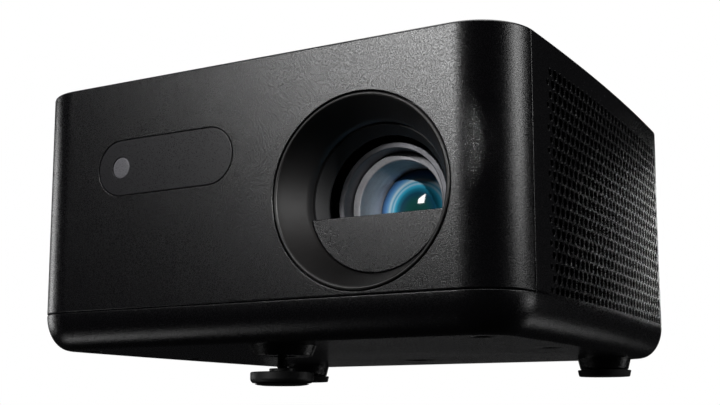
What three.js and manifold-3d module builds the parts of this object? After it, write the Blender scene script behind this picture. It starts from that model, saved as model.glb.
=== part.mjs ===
// Compact home projector, built as separate pieces the way it is put together.
// Units are millimetres. +Z is up, the lens looks along -Y, and the origin is on
// the surface under the middle of the body, level with the sole of the front foot.

import * as THREE from 'three';
import { mergeVertices } from 'three/addons/utils/BufferGeometryUtils.js';
import Module from 'manifold-3d';

const wasm = await Module();
wasm.setup();

// ---- Driving dimensions ----

// Body
const BODY_WIDTH = 216;          // across the crowned side panels
const BODY_DEPTH = 200;          // front face to rear face
const BODY_TOP = 120;            // rim of the covers, above the sole of the front foot
const SEAM_HEIGHT = 25.5;        // where the covers stand on the base tray
const BASE_BOTTOM = 15;          // underside of the base tray
const BASE_EDGE = 10;            // how far the rounded lower edge runs in under the body
const CORNER_RADIUS = 22;        // vertical corners
const SIDE_CROWN = 1.8;          // how far each side panel bows out
const COVER_RETURN = 18.5;       // how far front and rear covers reach along the sides
const WALL = 2.5;                // moulded wall
const TOP_SINK = 0.6;            // top cover below the rim
const FIT_GAP = 0.3;             // between pieces that touch

// Lens, on an axis along Y
const LENS_X = 48.7;
const LENS_HEIGHT = 65.8;
const RECESS_RADIUS = 35.2;      // round opening in the front cover
const RECESS_DEPTH = 13.5;       // front face to the shade plate
const THROAT_RADIUS = 27.5;      // narrow end of the funnel
const FUNNEL_BEVEL = 0.8;
const SHADE_DROP = 6.4;          // edge of the shade plate below the lens axis
const SHADE_THICKNESS = 2;
const BAFFLE_BORE = 24.2;
const BAFFLE_DEPTH = 22.5;       // front face to the far end of the baffle
const FOCUS_BORE = 20.2;
const FOCUS_RADIUS = 22.4;
const FOCUS_FRONT = 26;          // front face to the focus ring
const FOCUS_LENGTH = 30;
const BARREL_BORE = 17;
const BARREL_FRONT = 32.4;       // front face to the lens barrel
const BARREL_LENGTH = 40;
const GLASS_DEPTH = 49.7;        // front face to the rim of the front glass
const GLASS_CROWN = 3.2;
const INNER_CROWN = 1.5;         // domes of the two glasses behind it
const GLASS_EDGE = 2.4;
const GLASS_STEPS = 3;           // facets from the centre of a glass to its edge
const BARREL_STEPS = 3;          // stepped rings inside the barrel
const BARREL_STEP = 0.35;
const HOLDER_THICKNESS = 2.4;
const FOCUS_TRAVEL = 1.7;        // room for the barrel behind its rest place

// Focus drive
const GEAR_MODULE = 1.2;
const RING_TEETH = 48;
const PINION_TEETH = 12;
const GEAR_WIDTH = 5;
const GEAR_PLAY = 0.25;          // extra centre distance
const PINION_ANGLE = 145;        // degrees round the lens axis, from +X towards +Z
const PINION_SHAFT = 1.5;
const MOTOR_RADIUS = 7.5;
const MOTOR_LENGTH = 16;

// Sensor window in the front cover
const WINDOW_X = -36.4;
const WINDOW_HEIGHT = 85;
const WINDOW_WIDTH = 64.2;
const WINDOW_TALL = 21.9;
const CAMERA_X = -57.3;
const CAMERA_RADIUS = 4.2;
const CAMERA_CUBE = 9;           // module behind the eye
const CAMERA_MODULE_DEPTH = 3;
const SENSOR_BOARD_MARGIN = 2;

// Fans
const FAN_SIZE = 74;
const FAN_THICKNESS = 15;
const FAN_BORE = 34;
const FAN_HUB = 13;
const FAN_BLADES = 7;
const FAN_Y = 22;
const FAN_HEIGHT = 74;
const BLADE_WIDTH = 13;
const BLADE_THICKNESS = 1.2;
const BLADE_PITCH = 0.6;         // radians
const BLADE_CLEARANCE = 1.2;     // blade tip to the bore
const SPIDER_THICKNESS = 1.5;    // plate and spokes that carry the hub
const SPOKE_WIDTH = 4;
const SIDE_ROOM = 4;             // fans and speakers to the side panels
const FILTER_THICKNESS = 1.5;
const FILTER_TALL = 80;
const FILTER_HEIGHT = 73;
const FILTER_MARGIN = 15;        // seams of the side panel to the filter

// Speakers
const SPEAKER_WIDTH = 46;
const SPEAKER_TALL = 64;
const SPEAKER_THICK = 15;
const SPEAKER_RADIUS = 19;
const SPEAKER_DEPTH = 8;         // driver, front to back
const CONE_RIM = 2;
const CONE_CAP = 6;
const SPEAKER_Y = -48;
const SPEAKER_HEIGHT = 68;

// Boards and light engine
const BOARD_THICKNESS = 1.6;
const MAIN_BOARD_HEIGHT = 33;
const ENGINE_WIDTH = 58;
const ENGINE_DEPTH = 58;
const ENGINE_TALL = 54;
const ENGINE_WALL = 3;
const LED_SIZE = 14;
const LED_COUNT = 3;
const PRISM_SIZE = 26;
const PLATE_THICKNESS = 3;       // copper plate on the lights
const PIPE_RADIUS = 2.6;
const PIPE_CLEARANCE = 0.9;      // solder and bend allowance beside the plate
const SINK_FINS = 11;
const SINK_FIN = 1.4;
const SINK_SPAN = 56;
const SINK_TALL = 48;
const SINK_LEFT = -80;
const SINK_RIGHT = -30;
const SINK_BACK = 4;             // solid web that joins the fins
const CHASSIS_HEIGHT = 29.5;
const CHASSIS_THICKNESS = 1.5;
const BOARD_HALF_WIDTH = 78;
const BOARD_INSET = 14;          // main board to the rear face
const BOARD_LENGTH = 126;
const DRIVER_LENGTH = 34;

// Rear panel
const PANEL_X = 6;
const PANEL_WIDTH = 116;
const PANEL_HEIGHT = 40;
const PANEL_TALL = 17;
const PANEL_SINK = 1.5;
const PANEL_THICKNESS = 2;
const PORT_DEPTH = 12;
const SOCKET_DEPTH = 9.5;
const INLET_RADIUS = 3.2;
const INLET_PIN = 0.9;
const AUDIO_RADIUS = 1.8;
const BUTTON_X = 54;
const BUTTON_RADIUS = 4.5;
const BUTTON_FLANGE = 1.2;
const BUTTON_FLANGE_THICKNESS = 2;
const BUTTON_PROUD = 0.5;

// Feet
const FOOT_INSET = 28.7;         // front face to the middle of the front foot
const REAR_FOOT_INSET = 23.6;    // rear face to the middle of a rear foot
const REAR_FOOT_SIDE = 27.6;     // side to the middle of a rear foot
const FRONT_BOSS_TOP_RADIUS = 13.4;
const FRONT_BOSS_RADIUS = 11.5;
const FRONT_BOSS_BOTTOM = 11.1;
const REAR_BOSS_TOP_RADIUS = 12.3;
const REAR_BOSS_RADIUS = 10.9;
const REAR_BOSS_BOTTOM = 10;
const PAD_RADIUS = 12;
const PAD_BOTTOM = 6.8;
const DISC_RADIUS = 12.1;
const DISC_THICKNESS = 4.1;
const DISC_CHAMFER = 2;
const SOLE_THICKNESS = 1;
const SOLE_RADIUS = 9;
const STEM_RADIUS = 2;
const STEM_TOP = 21;
const COLLAR_RADIUS = 4.9;
const COLLAR_TALL = 1.4;
const INSERT_RADIUS = 4;
const INSERT_TALL = 9;

// Fasteners
const SCREW_SIDE = 22;           // side to the case screws
const SCREW_INSET = 20;          // front face to the first pair
const SCREW_SPACING = 68;        // first pair to the second
const SCREW_HEAD = 3;
const SCREW_HEAD_TALL = 2;
const SCREW_SHANK = 1.5;
const SCREW_LENGTH = 7;
const SCREW_RECESS = 4;
const SCREW_RECESS_TALL = 4;
const TRIPOD_Y = 48;
const TRIPOD_RADIUS = 7;
const TRIPOD_BORE = 3.2;         // 1/4 inch camera thread
const TRIPOD_TALL = 9;

// Roundness
const ARC_STEPS = 4;             // half the segments of each corner
const ROUND = 28;                // segments of a large circle
const SMALL_ROUND = 16;          // segments of a small circle

// ---- Places worked out from them ----

const HALF_WIDTH = BODY_WIDTH / 2;
const HALF_DEPTH = BODY_DEPTH / 2;
const FRONT_FACE = -HALF_DEPTH;
const COVER_SEAM = HALF_DEPTH - COVER_RETURN;
const INNER_SIDE = HALF_WIDTH - SIDE_CROWN - WALL;
const FOOT_Y = FRONT_FACE + FOOT_INSET;
const REAR_FEET = [REAR_FOOT_SIDE - HALF_WIDTH, HALF_WIDTH - REAR_FOOT_SIDE];
const REAR_FOOT_Y = HALF_DEPTH - REAR_FOOT_INSET;
const SCREW_X = HALF_WIDTH - SCREW_SIDE;
const SCREW_ROWS = [FRONT_FACE + SCREW_INSET, FRONT_FACE + SCREW_INSET + SCREW_SPACING];
const SCREW_PLACES = [-SCREW_X, SCREW_X].flatMap((x) => SCREW_ROWS.map((y) => [x, y]));
const BOARD_REAR = HALF_DEPTH - BOARD_INSET;
const DRIVER_FRONT = FAN_Y + SINK_SPAN / 2 + 2 * WALL;

// ---- Colours and finishes ----

const FINISHES = {
  moulded: { color: 0x1b1a1d, roughness: 0.55, metalness: 0 },
  satinBlack: { color: 0x0d0d0e, roughness: 0.4, metalness: 0 },
  smokedWindow: { color: 0x242326, roughness: 0.3, metalness: 0 },
  coatedGlass: { color: 0x24506c, roughness: 0.05, metalness: 0 },
  rubber: { color: 0x121212, roughness: 0.85, metalness: 0 },
  aluminium: { color: 0xa6a8ab, roughness: 0.4, metalness: 1 },
  copper: { color: 0xb4713f, roughness: 0.35, metalness: 1 },
  brass: { color: 0xb08d4a, roughness: 0.35, metalness: 1 },
  steel: { color: 0x8d8f92, roughness: 0.35, metalness: 1 },
  board: { color: 0x14402c, roughness: 0.5, metalness: 0 },
  foam: { color: 0x161616, roughness: 0.95, metalness: 0 },
};

const projector = new THREE.Group();

function addPiece(name, geometry, finish, parent = projector) {
  const mesh = new THREE.Mesh(geometry, new THREE.MeshStandardMaterial(FINISHES[finish]));
  mesh.name = name;
  parent.add(mesh);
  return mesh;
}

function addGroup(x, y, z, parent = projector) {
  const group = new THREE.Group();
  group.position.set(x, y, z);
  parent.add(group);
  return group;
}

// ---- Joining and cutting closed meshes ----

function toSolid(geometry) {
  const bare = geometry.clone();
  bare.deleteAttribute('normal');
  bare.deleteAttribute('uv');
  const merged = mergeVertices(bare, 1e-4);
  const triangles = [];
  for (let i = 0; i < merged.index.count; i += 3) {
    const corners = [0, 1, 2].map((k) => merged.index.getX(i + k));
    if (new Set(corners).size === 3) triangles.push(...corners);
  }
  return new wasm.Manifold(new wasm.Mesh({
    numProp: 3,
    vertProperties: new Float32Array(merged.attributes.position.array),
    triVerts: new Uint32Array(triangles),
  }));
}

function toGeometry(solid) {
  const mesh = solid.getMesh();
  const geometry = new THREE.BufferGeometry();
  geometry.setAttribute('position', new THREE.BufferAttribute(mesh.vertProperties, 3));
  geometry.setIndex(new THREE.BufferAttribute(mesh.triVerts, 1));
  geometry.computeVertexNormals();
  return geometry;
}

function cut(geometry, ...tools) {
  return toGeometry(tools.reduce((left, tool) => left.subtract(toSolid(tool)), toSolid(geometry)));
}

function join(...geometries) {
  const [first, ...others] = geometries.map(toSolid);
  return toGeometry(others.reduce((whole, solid) => whole.add(solid), first));
}

function keepInside(geometry, region) {
  return toGeometry(toSolid(geometry).intersect(toSolid(region)));
}

// ---- Basic stock ----

function block(x0, x1, y0, y1, z0, z1) {
  return new THREE.BoxGeometry(x1 - x0, y1 - y0, z1 - z0)
    .translate((x0 + x1) / 2, (y0 + y1) / 2, (z0 + z1) / 2);
}

function slab(width, depth, tall) {
  return new THREE.BoxGeometry(width, depth, tall);
}

function rodAlongZ(radius, z0, z1, segments = SMALL_ROUND, topRadius = radius) {
  return new THREE.CylinderGeometry(topRadius, radius, z1 - z0, segments)
    .rotateX(Math.PI / 2)
    .translate(0, 0, (z0 + z1) / 2);
}

function rodAlongY(radius, y0, y1, segments = SMALL_ROUND) {
  return new THREE.CylinderGeometry(radius, radius, y1 - y0, segments).translate(0, (y0 + y1) / 2, 0);
}

// Turns [radius, depth] corners about the Y axis. An outline that starts on the axis
// also ends there, and any other closes on its first corner.
function turned(corners, segments = ROUND) {
  const loop = corners[0][0] === 0 ? corners : [...corners, corners[0]];
  const outline = loop.map(([radius, depth]) => new THREE.Vector2(radius, depth));
  return new THREE.LatheGeometry(outline, segments);
}

function ring(inner, outer, near, far, segments = ROUND) {
  return turned([[inner, near], [outer, near], [outer, far], [inner, far]], segments);
}

function extrudeUp(shape, z0, z1, steps = ARC_STEPS) {
  return new THREE.ExtrudeGeometry(shape, { depth: z1 - z0, bevelEnabled: false, curveSegments: steps })
    .translate(0, 0, z0);
}

// A shape drawn in X and Z, extruded from depth y0 to y1.
function extrudeBack(shape, y0, y1, steps = ARC_STEPS) {
  return new THREE.ExtrudeGeometry(shape, { depth: y1 - y0, bevelEnabled: false, curveSegments: steps })
    .rotateX(Math.PI / 2)
    .translate(0, y1, 0);
}

function stadium(width, tall) {
  const radius = tall / 2;
  const reach = width / 2 - radius;
  const shape = new THREE.Shape();
  shape.moveTo(-reach, -radius);
  shape.lineTo(reach, -radius);
  shape.absarc(reach, 0, radius, -Math.PI / 2, Math.PI / 2, false);
  shape.lineTo(-reach, radius);
  shape.absarc(-reach, 0, radius, Math.PI / 2, 1.5 * Math.PI, false);
  return shape;
}

// ---- Body outline in plan ----

// Flat front and rear, round corners, and sides bowed out by the crown.
function bodyOutline(inset) {
  const radius = CORNER_RADIUS - inset;
  const x = HALF_WIDTH - SIDE_CROWN - CORNER_RADIUS;
  const y = HALF_DEPTH - CORNER_RADIUS;
  const sideRadius = (y * y + SIDE_CROWN * SIDE_CROWN) / (2 * SIDE_CROWN);
  const sideCentre = x + radius + SIDE_CROWN - sideRadius;
  const sweep = Math.asin(y / sideRadius);
  const shape = new THREE.Shape();
  shape.moveTo(-x, -y - radius);
  shape.lineTo(x, -y - radius);
  shape.absarc(x, -y, radius, -Math.PI / 2, 0, false);
  shape.absarc(sideCentre, 0, sideRadius, -sweep, sweep, false);
  shape.absarc(x, y, radius, 0, Math.PI / 2, false);
  shape.lineTo(-x, y + radius);
  shape.absarc(-x, y, radius, Math.PI / 2, Math.PI, false);
  shape.absarc(-sideCentre, 0, sideRadius, Math.PI - sweep, Math.PI + sweep, false);
  shape.absarc(-x, -y, radius, Math.PI, 1.5 * Math.PI, false);
  return shape;
}

// Neighbours that fall together where two stretches meet are kept once.
function outlinePoints(inset) {
  const points = bodyOutline(inset).getPoints(ARC_STEPS);
  return points.filter((point, i) => point.distanceTo(points.at(i - 1)) > 1e-3);
}

// Skins a stack of level outlines, lowest first, and closes both ends.
function stackOutlines(levels) {
  const count = levels[0].points.length;
  const positions = levels.flatMap(({ points, z }) => points.flatMap((p) => [p.x, p.y, z]));
  const index = [];
  for (let level = 0; level < levels.length - 1; level += 1) {
    for (let i = 0; i < count; i += 1) {
      const a = level * count + i;
      const b = level * count + ((i + 1) % count);
      index.push(a, b, b + count, a, b + count, a + count);
    }
  }
  const lid = (levels.length - 1) * count;
  for (const [a, b, c] of THREE.ShapeUtils.triangulateShape(levels[0].points, [])) {
    index.push(c, b, a, lid + a, lid + b, lid + c);
  }
  const geometry = new THREE.BufferGeometry();
  geometry.setAttribute('position', new THREE.Float32BufferAttribute(positions, 3));
  geometry.setIndex(index);
  geometry.computeVertexNormals();
  return geometry;
}

// ---- Shell ----

function coverBand(yMin, yMax, xMin = -BODY_WIDTH, xMax = BODY_WIDTH) {
  const band = bodyOutline(0);
  band.holes.push(bodyOutline(WALL));
  const region = block(xMin, xMax, yMin, yMax, 0, BODY_TOP + WALL);
  return keepInside(extrudeUp(band, SEAM_HEIGHT + FIT_GAP / 2, BODY_TOP), region);
}

function frontCover() {
  const opening = rodAlongY(RECESS_RADIUS, FRONT_FACE - WALL, FRONT_FACE + 2 * WALL, ROUND)
    .translate(LENS_X, 0, LENS_HEIGHT);
  const windowSlot = extrudeBack(
    stadium(WINDOW_WIDTH + 2 * FIT_GAP, WINDOW_TALL + 2 * FIT_GAP),
    FRONT_FACE - WALL,
    FRONT_FACE + 2 * WALL,
  ).translate(WINDOW_X, 0, WINDOW_HEIGHT);
  return cut(coverBand(-BODY_DEPTH, -COVER_SEAM - FIT_GAP / 2), opening, windowSlot);
}

function rearCover() {
  const panelSlot = block(
    PANEL_X - PANEL_WIDTH / 2 - FIT_GAP,
    PANEL_X + PANEL_WIDTH / 2 + FIT_GAP,
    HALF_DEPTH - 2 * WALL,
    HALF_DEPTH + WALL,
    PANEL_HEIGHT - PANEL_TALL / 2 - FIT_GAP,
    PANEL_HEIGHT + PANEL_TALL / 2 + FIT_GAP,
  );
  return cut(coverBand(COVER_SEAM + FIT_GAP / 2, BODY_DEPTH), panelSlot);
}

function sidePanel(side) {
  const reach = COVER_SEAM - FIT_GAP / 2;
  return side > 0 ? coverBand(-reach, reach, 0) : coverBand(-reach, reach, -BODY_WIDTH, 0);
}

function topCover() {
  const top = BODY_TOP - TOP_SINK;
  return extrudeUp(bodyOutline(WALL + FIT_GAP), top - WALL, top);
}

// Level outlines of the tray's rounded lower edge, pulled in by a wall.
function trayLevels(wall, rim, steps) {
  const levels = [];
  for (let i = 0; i <= steps; i += 1) {
    const turn = (i / steps) * (Math.PI / 2);
    const z = SEAM_HEIGHT - (SEAM_HEIGHT - BASE_BOTTOM - wall) * Math.cos(turn);
    levels.push({ z, points: outlinePoints(wall + BASE_EDGE * (1 - Math.sin(turn))) });
  }
  if (rim > 0) levels.push({ z: SEAM_HEIGHT + rim, points: outlinePoints(wall) });
  return levels;
}

function baseTray() {
  const rim = SEAM_HEIGHT - FIT_GAP / 2;
  const body = cut(
    stackOutlines(trayLevels(0, 0, 5)),
    stackOutlines(trayLevels(WALL, WALL, 2)),
    block(-BODY_WIDTH, BODY_WIDTH, -BODY_DEPTH, BODY_DEPTH, rim, BODY_TOP),
  );
  const floor = BASE_BOTTOM + WALL / 2;
  const frontBoss = rodAlongZ(FRONT_BOSS_RADIUS, FRONT_BOSS_BOTTOM, floor, ROUND, FRONT_BOSS_TOP_RADIUS)
    .translate(0, FOOT_Y, 0);
  const frontPost = rodAlongZ(INSERT_RADIUS + WALL, floor, STEM_TOP + WALL).translate(0, FOOT_Y, 0);
  const rearBosses = REAR_FEET.map((x) => (
    rodAlongZ(REAR_BOSS_RADIUS, REAR_BOSS_BOTTOM, floor, ROUND, REAR_BOSS_TOP_RADIUS)
      .translate(x, REAR_FOOT_Y, 0)
  ));
  const insertBore = rodAlongZ(INSERT_RADIUS + FIT_GAP, 0, BODY_TOP).translate(0, FOOT_Y, 0);
  const collarBore = rodAlongZ(COLLAR_RADIUS + FIT_GAP, 0, FRONT_BOSS_BOTTOM + COLLAR_TALL + FIT_GAP)
    .translate(0, FOOT_Y, 0);
  const tripodBore = rodAlongZ(TRIPOD_RADIUS + FIT_GAP, 0, BODY_TOP).translate(0, TRIPOD_Y, 0);
  const tripodPost = rodAlongZ(TRIPOD_RADIUS + WALL, floor, BASE_BOTTOM + TRIPOD_TALL)
    .translate(0, TRIPOD_Y, 0);
  const whole = join(body, frontBoss, frontPost, tripodPost, ...rearBosses, ...atScrews(screwPost));
  return cut(whole, insertBore, collarBore, tripodBore, ...atScrews(screwBore), ...atScrews(screwRecess));
}

function atScrews(makeTool) {
  return SCREW_PLACES.map(([x, y]) => makeTool().translate(x, y, 0));
}

function screwPost() {
  return rodAlongZ(SCREW_RECESS + WALL, BASE_BOTTOM + WALL / 2, CHASSIS_HEIGHT - FIT_GAP);
}

function screwBore() {
  return rodAlongZ(SCREW_SHANK + FIT_GAP, 0, BODY_TOP);
}

function screwRecess() {
  return rodAlongZ(SCREW_RECESS, 0, BASE_BOTTOM + SCREW_RECESS_TALL);
}

function addShell() {
  addPiece('front_cover', frontCover(), 'moulded');
  addPiece('rear_cover', rearCover(), 'moulded');
  addPiece('side_grille_left', sidePanel(-1), 'moulded');
  addPiece('side_grille_right', sidePanel(1), 'moulded');
  addPiece('top_cover', topCover(), 'moulded');
  addPiece('base_tray', baseTray(), 'moulded');
}

// ---- Lens and funnel, drawn as depth behind the front face ----

function lensFunnel() {
  const outer = RECESS_RADIUS - FIT_GAP;
  const seat = WALL + FIT_GAP;
  const far = RECESS_DEPTH + SHADE_THICKNESS + FIT_GAP;
  return turned([
    [outer - FUNNEL_BEVEL, 0],
    [outer, FUNNEL_BEVEL],
    [outer, seat],
    [outer + WALL, seat],
    [outer + WALL, seat + WALL],
    [outer - WALL / 2, seat + WALL],
    [THROAT_RADIUS + WALL, far],
    [THROAT_RADIUS, far],
    [THROAT_RADIUS, RECESS_DEPTH],
    [outer - 2 * FUNNEL_BEVEL, FUNNEL_BEVEL],
  ]);
}

function lensShade() {
  const radius = THROAT_RADIUS - FIT_GAP;
  const half = Math.acos(SHADE_DROP / radius);
  const shape = new THREE.Shape();
  shape.absarc(0, 0, radius, -Math.PI / 2 - half, -Math.PI / 2 + half, false);
  shape.closePath();
  return extrudeBack(shape, RECESS_DEPTH, RECESS_DEPTH + SHADE_THICKNESS, 2 * ARC_STEPS);
}

function lensBaffle() {
  const near = RECESS_DEPTH + SHADE_THICKNESS + 2 * FIT_GAP;
  return turned([
    [BAFFLE_BORE + WALL, near],
    [THROAT_RADIUS + WALL, near],
    [THROAT_RADIUS + WALL, BAFFLE_DEPTH],
    [BAFFLE_BORE, BAFFLE_DEPTH],
    [BAFFLE_BORE, BAFFLE_DEPTH - WALL / 2],
  ]);
}

// A spur gear outline with straight-sided teeth, the first tooth on +X.
function gearOutline(teeth, offset) {
  const pitchRadius = (teeth * GEAR_MODULE) / 2;
  const root = pitchRadius - 1.1 * GEAR_MODULE;
  const tip = pitchRadius + 0.8 * GEAR_MODULE;
  const rootHalf = (0.29 * GEAR_MODULE * Math.PI) / root;
  const tipHalf = (0.11 * GEAR_MODULE * Math.PI) / tip;
  const shape = new THREE.Shape();
  for (let i = 0; i < teeth; i += 1) {
    const middle = ((i + offset) * 2 * Math.PI) / teeth;
    const flank = [[root, -rootHalf], [tip, -tipHalf], [tip, tipHalf], [root, rootHalf]];
    for (const [radius, turn] of flank) {
      const x = radius * Math.cos(middle + turn);
      const y = radius * Math.sin(middle + turn);
      if (i === 0 && turn === -rootHalf && radius === root) shape.moveTo(x, y);
      else shape.lineTo(x, y);
    }
  }
  shape.closePath();
  return shape;
}

const GEAR_CENTRES = ((RING_TEETH + PINION_TEETH) * GEAR_MODULE) / 2 + GEAR_PLAY;
const GEAR_NEAR = FOCUS_FRONT + FOCUS_LENGTH - GEAR_WIDTH;

// Ring tooth 0 is turned to the pinion, so the pinion shows it a gap.
const PINION_TURN = (PINION_ANGLE * Math.PI) / 180;

function focusRing() {
  const gear = gearOutline(RING_TEETH, (PINION_ANGLE / 360) * RING_TEETH);
  const teeth = extrudeBack(gear, GEAR_NEAR, GEAR_NEAR + GEAR_WIDTH);
  const tube = rodAlongY(FOCUS_RADIUS, FOCUS_FRONT, GEAR_NEAR + GEAR_WIDTH, ROUND);
  const bore = rodAlongY(FOCUS_BORE, 0, 2 * GEAR_NEAR, ROUND);
  return cut(join(teeth, tube), bore);
}

function focusPinion() {
  const facing = ((PINION_ANGLE + 180) / 360) * PINION_TEETH + 0.5;
  const teeth = extrudeBack(gearOutline(PINION_TEETH, facing), GEAR_NEAR, GEAR_NEAR + GEAR_WIDTH);
  const shaft = rodAlongY(PINION_SHAFT, GEAR_NEAR, GEAR_NEAR + 2 * GEAR_WIDTH);
  return join(teeth, shaft);
}

function focusMotor() {
  const near = GEAR_NEAR + GEAR_WIDTH + 2 * FIT_GAP;
  const body = rodAlongY(MOTOR_RADIUS, near, near + MOTOR_LENGTH);
  const bore = rodAlongY(PINION_SHAFT + FIT_GAP, 0, near + GEAR_WIDTH);
  return cut(body, bore);
}

// Stepped bore in front of the glass, plain bore behind it.
function lensBarrel() {
  const outer = FOCUS_BORE - FIT_GAP;
  const far = BARREL_FRONT + BARREL_LENGTH;
  const seat = GLASS_DEPTH + GLASS_EDGE + FIT_GAP;
  const tread = (GLASS_DEPTH - BARREL_FRONT) / BARREL_STEPS;
  const corners = [[outer, BARREL_FRONT], [outer, far], [BARREL_BORE - WALL, far]];
  corners.push([BARREL_BORE - WALL, seat], [BARREL_BORE + BARREL_STEP, seat]);
  for (let i = BARREL_STEPS; i > 0; i -= 1) {
    const near = BARREL_FRONT + (i - 1) * tread;
    corners.push([BARREL_BORE + BARREL_STEP, near + tread / 2]);
    corners.push([BARREL_BORE, near + tread / 2], [BARREL_BORE, near]);
    if (i > 1) corners.push([BARREL_BORE + BARREL_STEP, near]);
  }
  return turned(corners);
}

// A glass with a flat cylindrical edge and two domed faces.
function lensGlass(radius, near, edge, frontCrown, backCrown) {
  const far = near + edge;
  const shares = Array.from({ length: GLASS_STEPS + 1 }, (_, i) => i / GLASS_STEPS);
  const front = shares.map((share) => [radius * share, near - frontCrown * (1 - share * share)]);
  const back = shares.map((share) => [radius * share, far + backCrown * (1 - share * share)]);
  return turned([...front, ...back.reverse()]);
}

// Ring that bolts the lens to the light engine and carries the focus ring.
function lensHolder() {
  const near = GEAR_NEAR + GEAR_WIDTH + FIT_GAP;
  const outer = GEAR_CENTRES - MOTOR_RADIUS - FIT_GAP;
  return ring(FOCUS_BORE, outer, near, near + HOLDER_THICKNESS);
}

function addLens() {
  const lens = addGroup(LENS_X, FRONT_FACE, LENS_HEIGHT);
  const innerBore = BARREL_BORE - WALL - FIT_GAP;
  const groupDepth = GLASS_DEPTH + 3 * GLASS_EDGE;
  addPiece('lens_funnel', lensFunnel(), 'satinBlack', lens);
  addPiece('lens_shade_plate', lensShade(), 'moulded', lens);
  addPiece('lens_baffle_ring', lensBaffle(), 'satinBlack', lens);
  addPiece('focus_ring', focusRing(), 'satinBlack', lens);
  addPiece('lens_barrel', lensBarrel(), 'aluminium', lens);
  const front = lensGlass(BARREL_BORE, GLASS_DEPTH, GLASS_EDGE, GLASS_CROWN, 0);
  addPiece('front_lens', front, 'coatedGlass', lens);
  const middle = lensGlass(innerBore, groupDepth, GLASS_EDGE, INNER_CROWN, INNER_CROWN);
  addPiece('middle_lens', middle, 'coatedGlass', lens);
  const rear = lensGlass(innerBore, groupDepth + 4 * GLASS_EDGE, GLASS_EDGE, INNER_CROWN, INNER_CROWN);
  addPiece('rear_lens', rear, 'coatedGlass', lens);
  addPiece('lens_holder', lensHolder(), 'aluminium', lens);
  const pinionX = GEAR_CENTRES * Math.cos(PINION_TURN);
  const pinion = addGroup(pinionX, 0, GEAR_CENTRES * Math.sin(PINION_TURN), lens);
  addPiece('focus_pinion', focusPinion(), 'brass', pinion);
  addPiece('focus_motor', focusMotor(), 'steel', pinion);
}

// ---- Sensor window, camera and their board ----

function addSensors() {
  const camera = addGroup(CAMERA_X, FRONT_FACE, WINDOW_HEIGHT);
  const back = WALL - FIT_GAP;
  const windowPlate = cut(
    extrudeBack(stadium(WINDOW_WIDTH, WINDOW_TALL), 0, back),
    rodAlongY(CAMERA_RADIUS + FIT_GAP, -WALL, 2 * WALL).translate(CAMERA_X - WINDOW_X, 0, 0),
  );
  const plate = addPiece('sensor_window', windowPlate, 'smokedWindow');
  plate.position.set(WINDOW_X, FRONT_FACE, WINDOW_HEIGHT);
  addPiece('camera_eye', rodAlongY(CAMERA_RADIUS, 0, back), 'smokedWindow', camera);
  const module = slab(CAMERA_CUBE, CAMERA_MODULE_DEPTH, CAMERA_CUBE);
  module.translate(0, back + FIT_GAP + CAMERA_MODULE_DEPTH / 2, 0);
  addPiece('camera_module', module, 'satinBlack', camera);
  const margins = 2 * SENSOR_BOARD_MARGIN;
  const board = slab(WINDOW_WIDTH - margins, BOARD_THICKNESS, WINDOW_TALL - margins);
  const boardDepth = back + 2 * FIT_GAP + CAMERA_MODULE_DEPTH + BOARD_THICKNESS / 2;
  const sensorBoard = addPiece('sensor_board', board, 'board');
  sensorBoard.position.set(WINDOW_X, FRONT_FACE + boardDepth, WINDOW_HEIGHT);
}

// ---- Light engine behind the lens ----

const ENGINE_FRONT = FRONT_FACE + BARREL_FRONT + BARREL_LENGTH + FOCUS_TRAVEL + FIT_GAP;
const ENGINE_BACK = ENGINE_FRONT + ENGINE_DEPTH;
const ENGINE_LEFT = LENS_X - ENGINE_WIDTH / 2;

// Open at the back, where the image chip board closes it, with a bore to the lens
// and a square window for each light.
function engineHousing() {
  const half = ENGINE_WIDTH / 2;
  const body = block(-half, half, 0, ENGINE_DEPTH, -ENGINE_TALL / 2, ENGINE_TALL / 2);
  const hollow = block(
    ENGINE_WALL - half,
    half - ENGINE_WALL,
    ENGINE_WALL,
    ENGINE_DEPTH + ENGINE_WALL,
    ENGINE_WALL - ENGINE_TALL / 2,
    ENGINE_TALL / 2 - ENGINE_WALL,
  );
  const bore = rodAlongY(BARREL_BORE, -ENGINE_WALL, 2 * ENGINE_WALL);
  return cut(body, hollow, bore);
}

function lightPlaces() {
  const spacing = ENGINE_DEPTH / LED_COUNT;
  return Array.from({ length: LED_COUNT }, (_, i) => (i + 0.5) * spacing);
}

function prismBlock() {
  const half = PRISM_SIZE / 2;
  const shape = new THREE.Shape();
  shape.moveTo(-half, -half);
  shape.lineTo(half, -half);
  shape.lineTo(half, half);
  shape.closePath();
  return extrudeUp(shape, -half, half);
}

function addEngine() {
  const engine = addGroup(LENS_X, ENGINE_FRONT, LENS_HEIGHT);
  addPiece('light_engine_housing', engineHousing(), 'aluminium', engine);
  addPiece('prism', prismBlock().translate(0, ENGINE_DEPTH / 2, 0), 'coatedGlass', engine);
  const chipBoard = slab(ENGINE_WIDTH, BOARD_THICKNESS, ENGINE_TALL);
  chipBoard.translate(0, ENGINE_DEPTH + FIT_GAP + BOARD_THICKNESS / 2, 0);
  addPiece('image_chip_board', chipBoard, 'board', engine);
  const ledX = -ENGINE_WIDTH / 2 - FIT_GAP - LED_SIZE / 4;
  lightPlaces().forEach((y, i) => {
    const led = slab(LED_SIZE / 2, LED_SIZE, LED_SIZE).translate(ledX, y, 0);
    addPiece(`led_module_${i + 1}`, led, 'brass', engine);
  });
}

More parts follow.
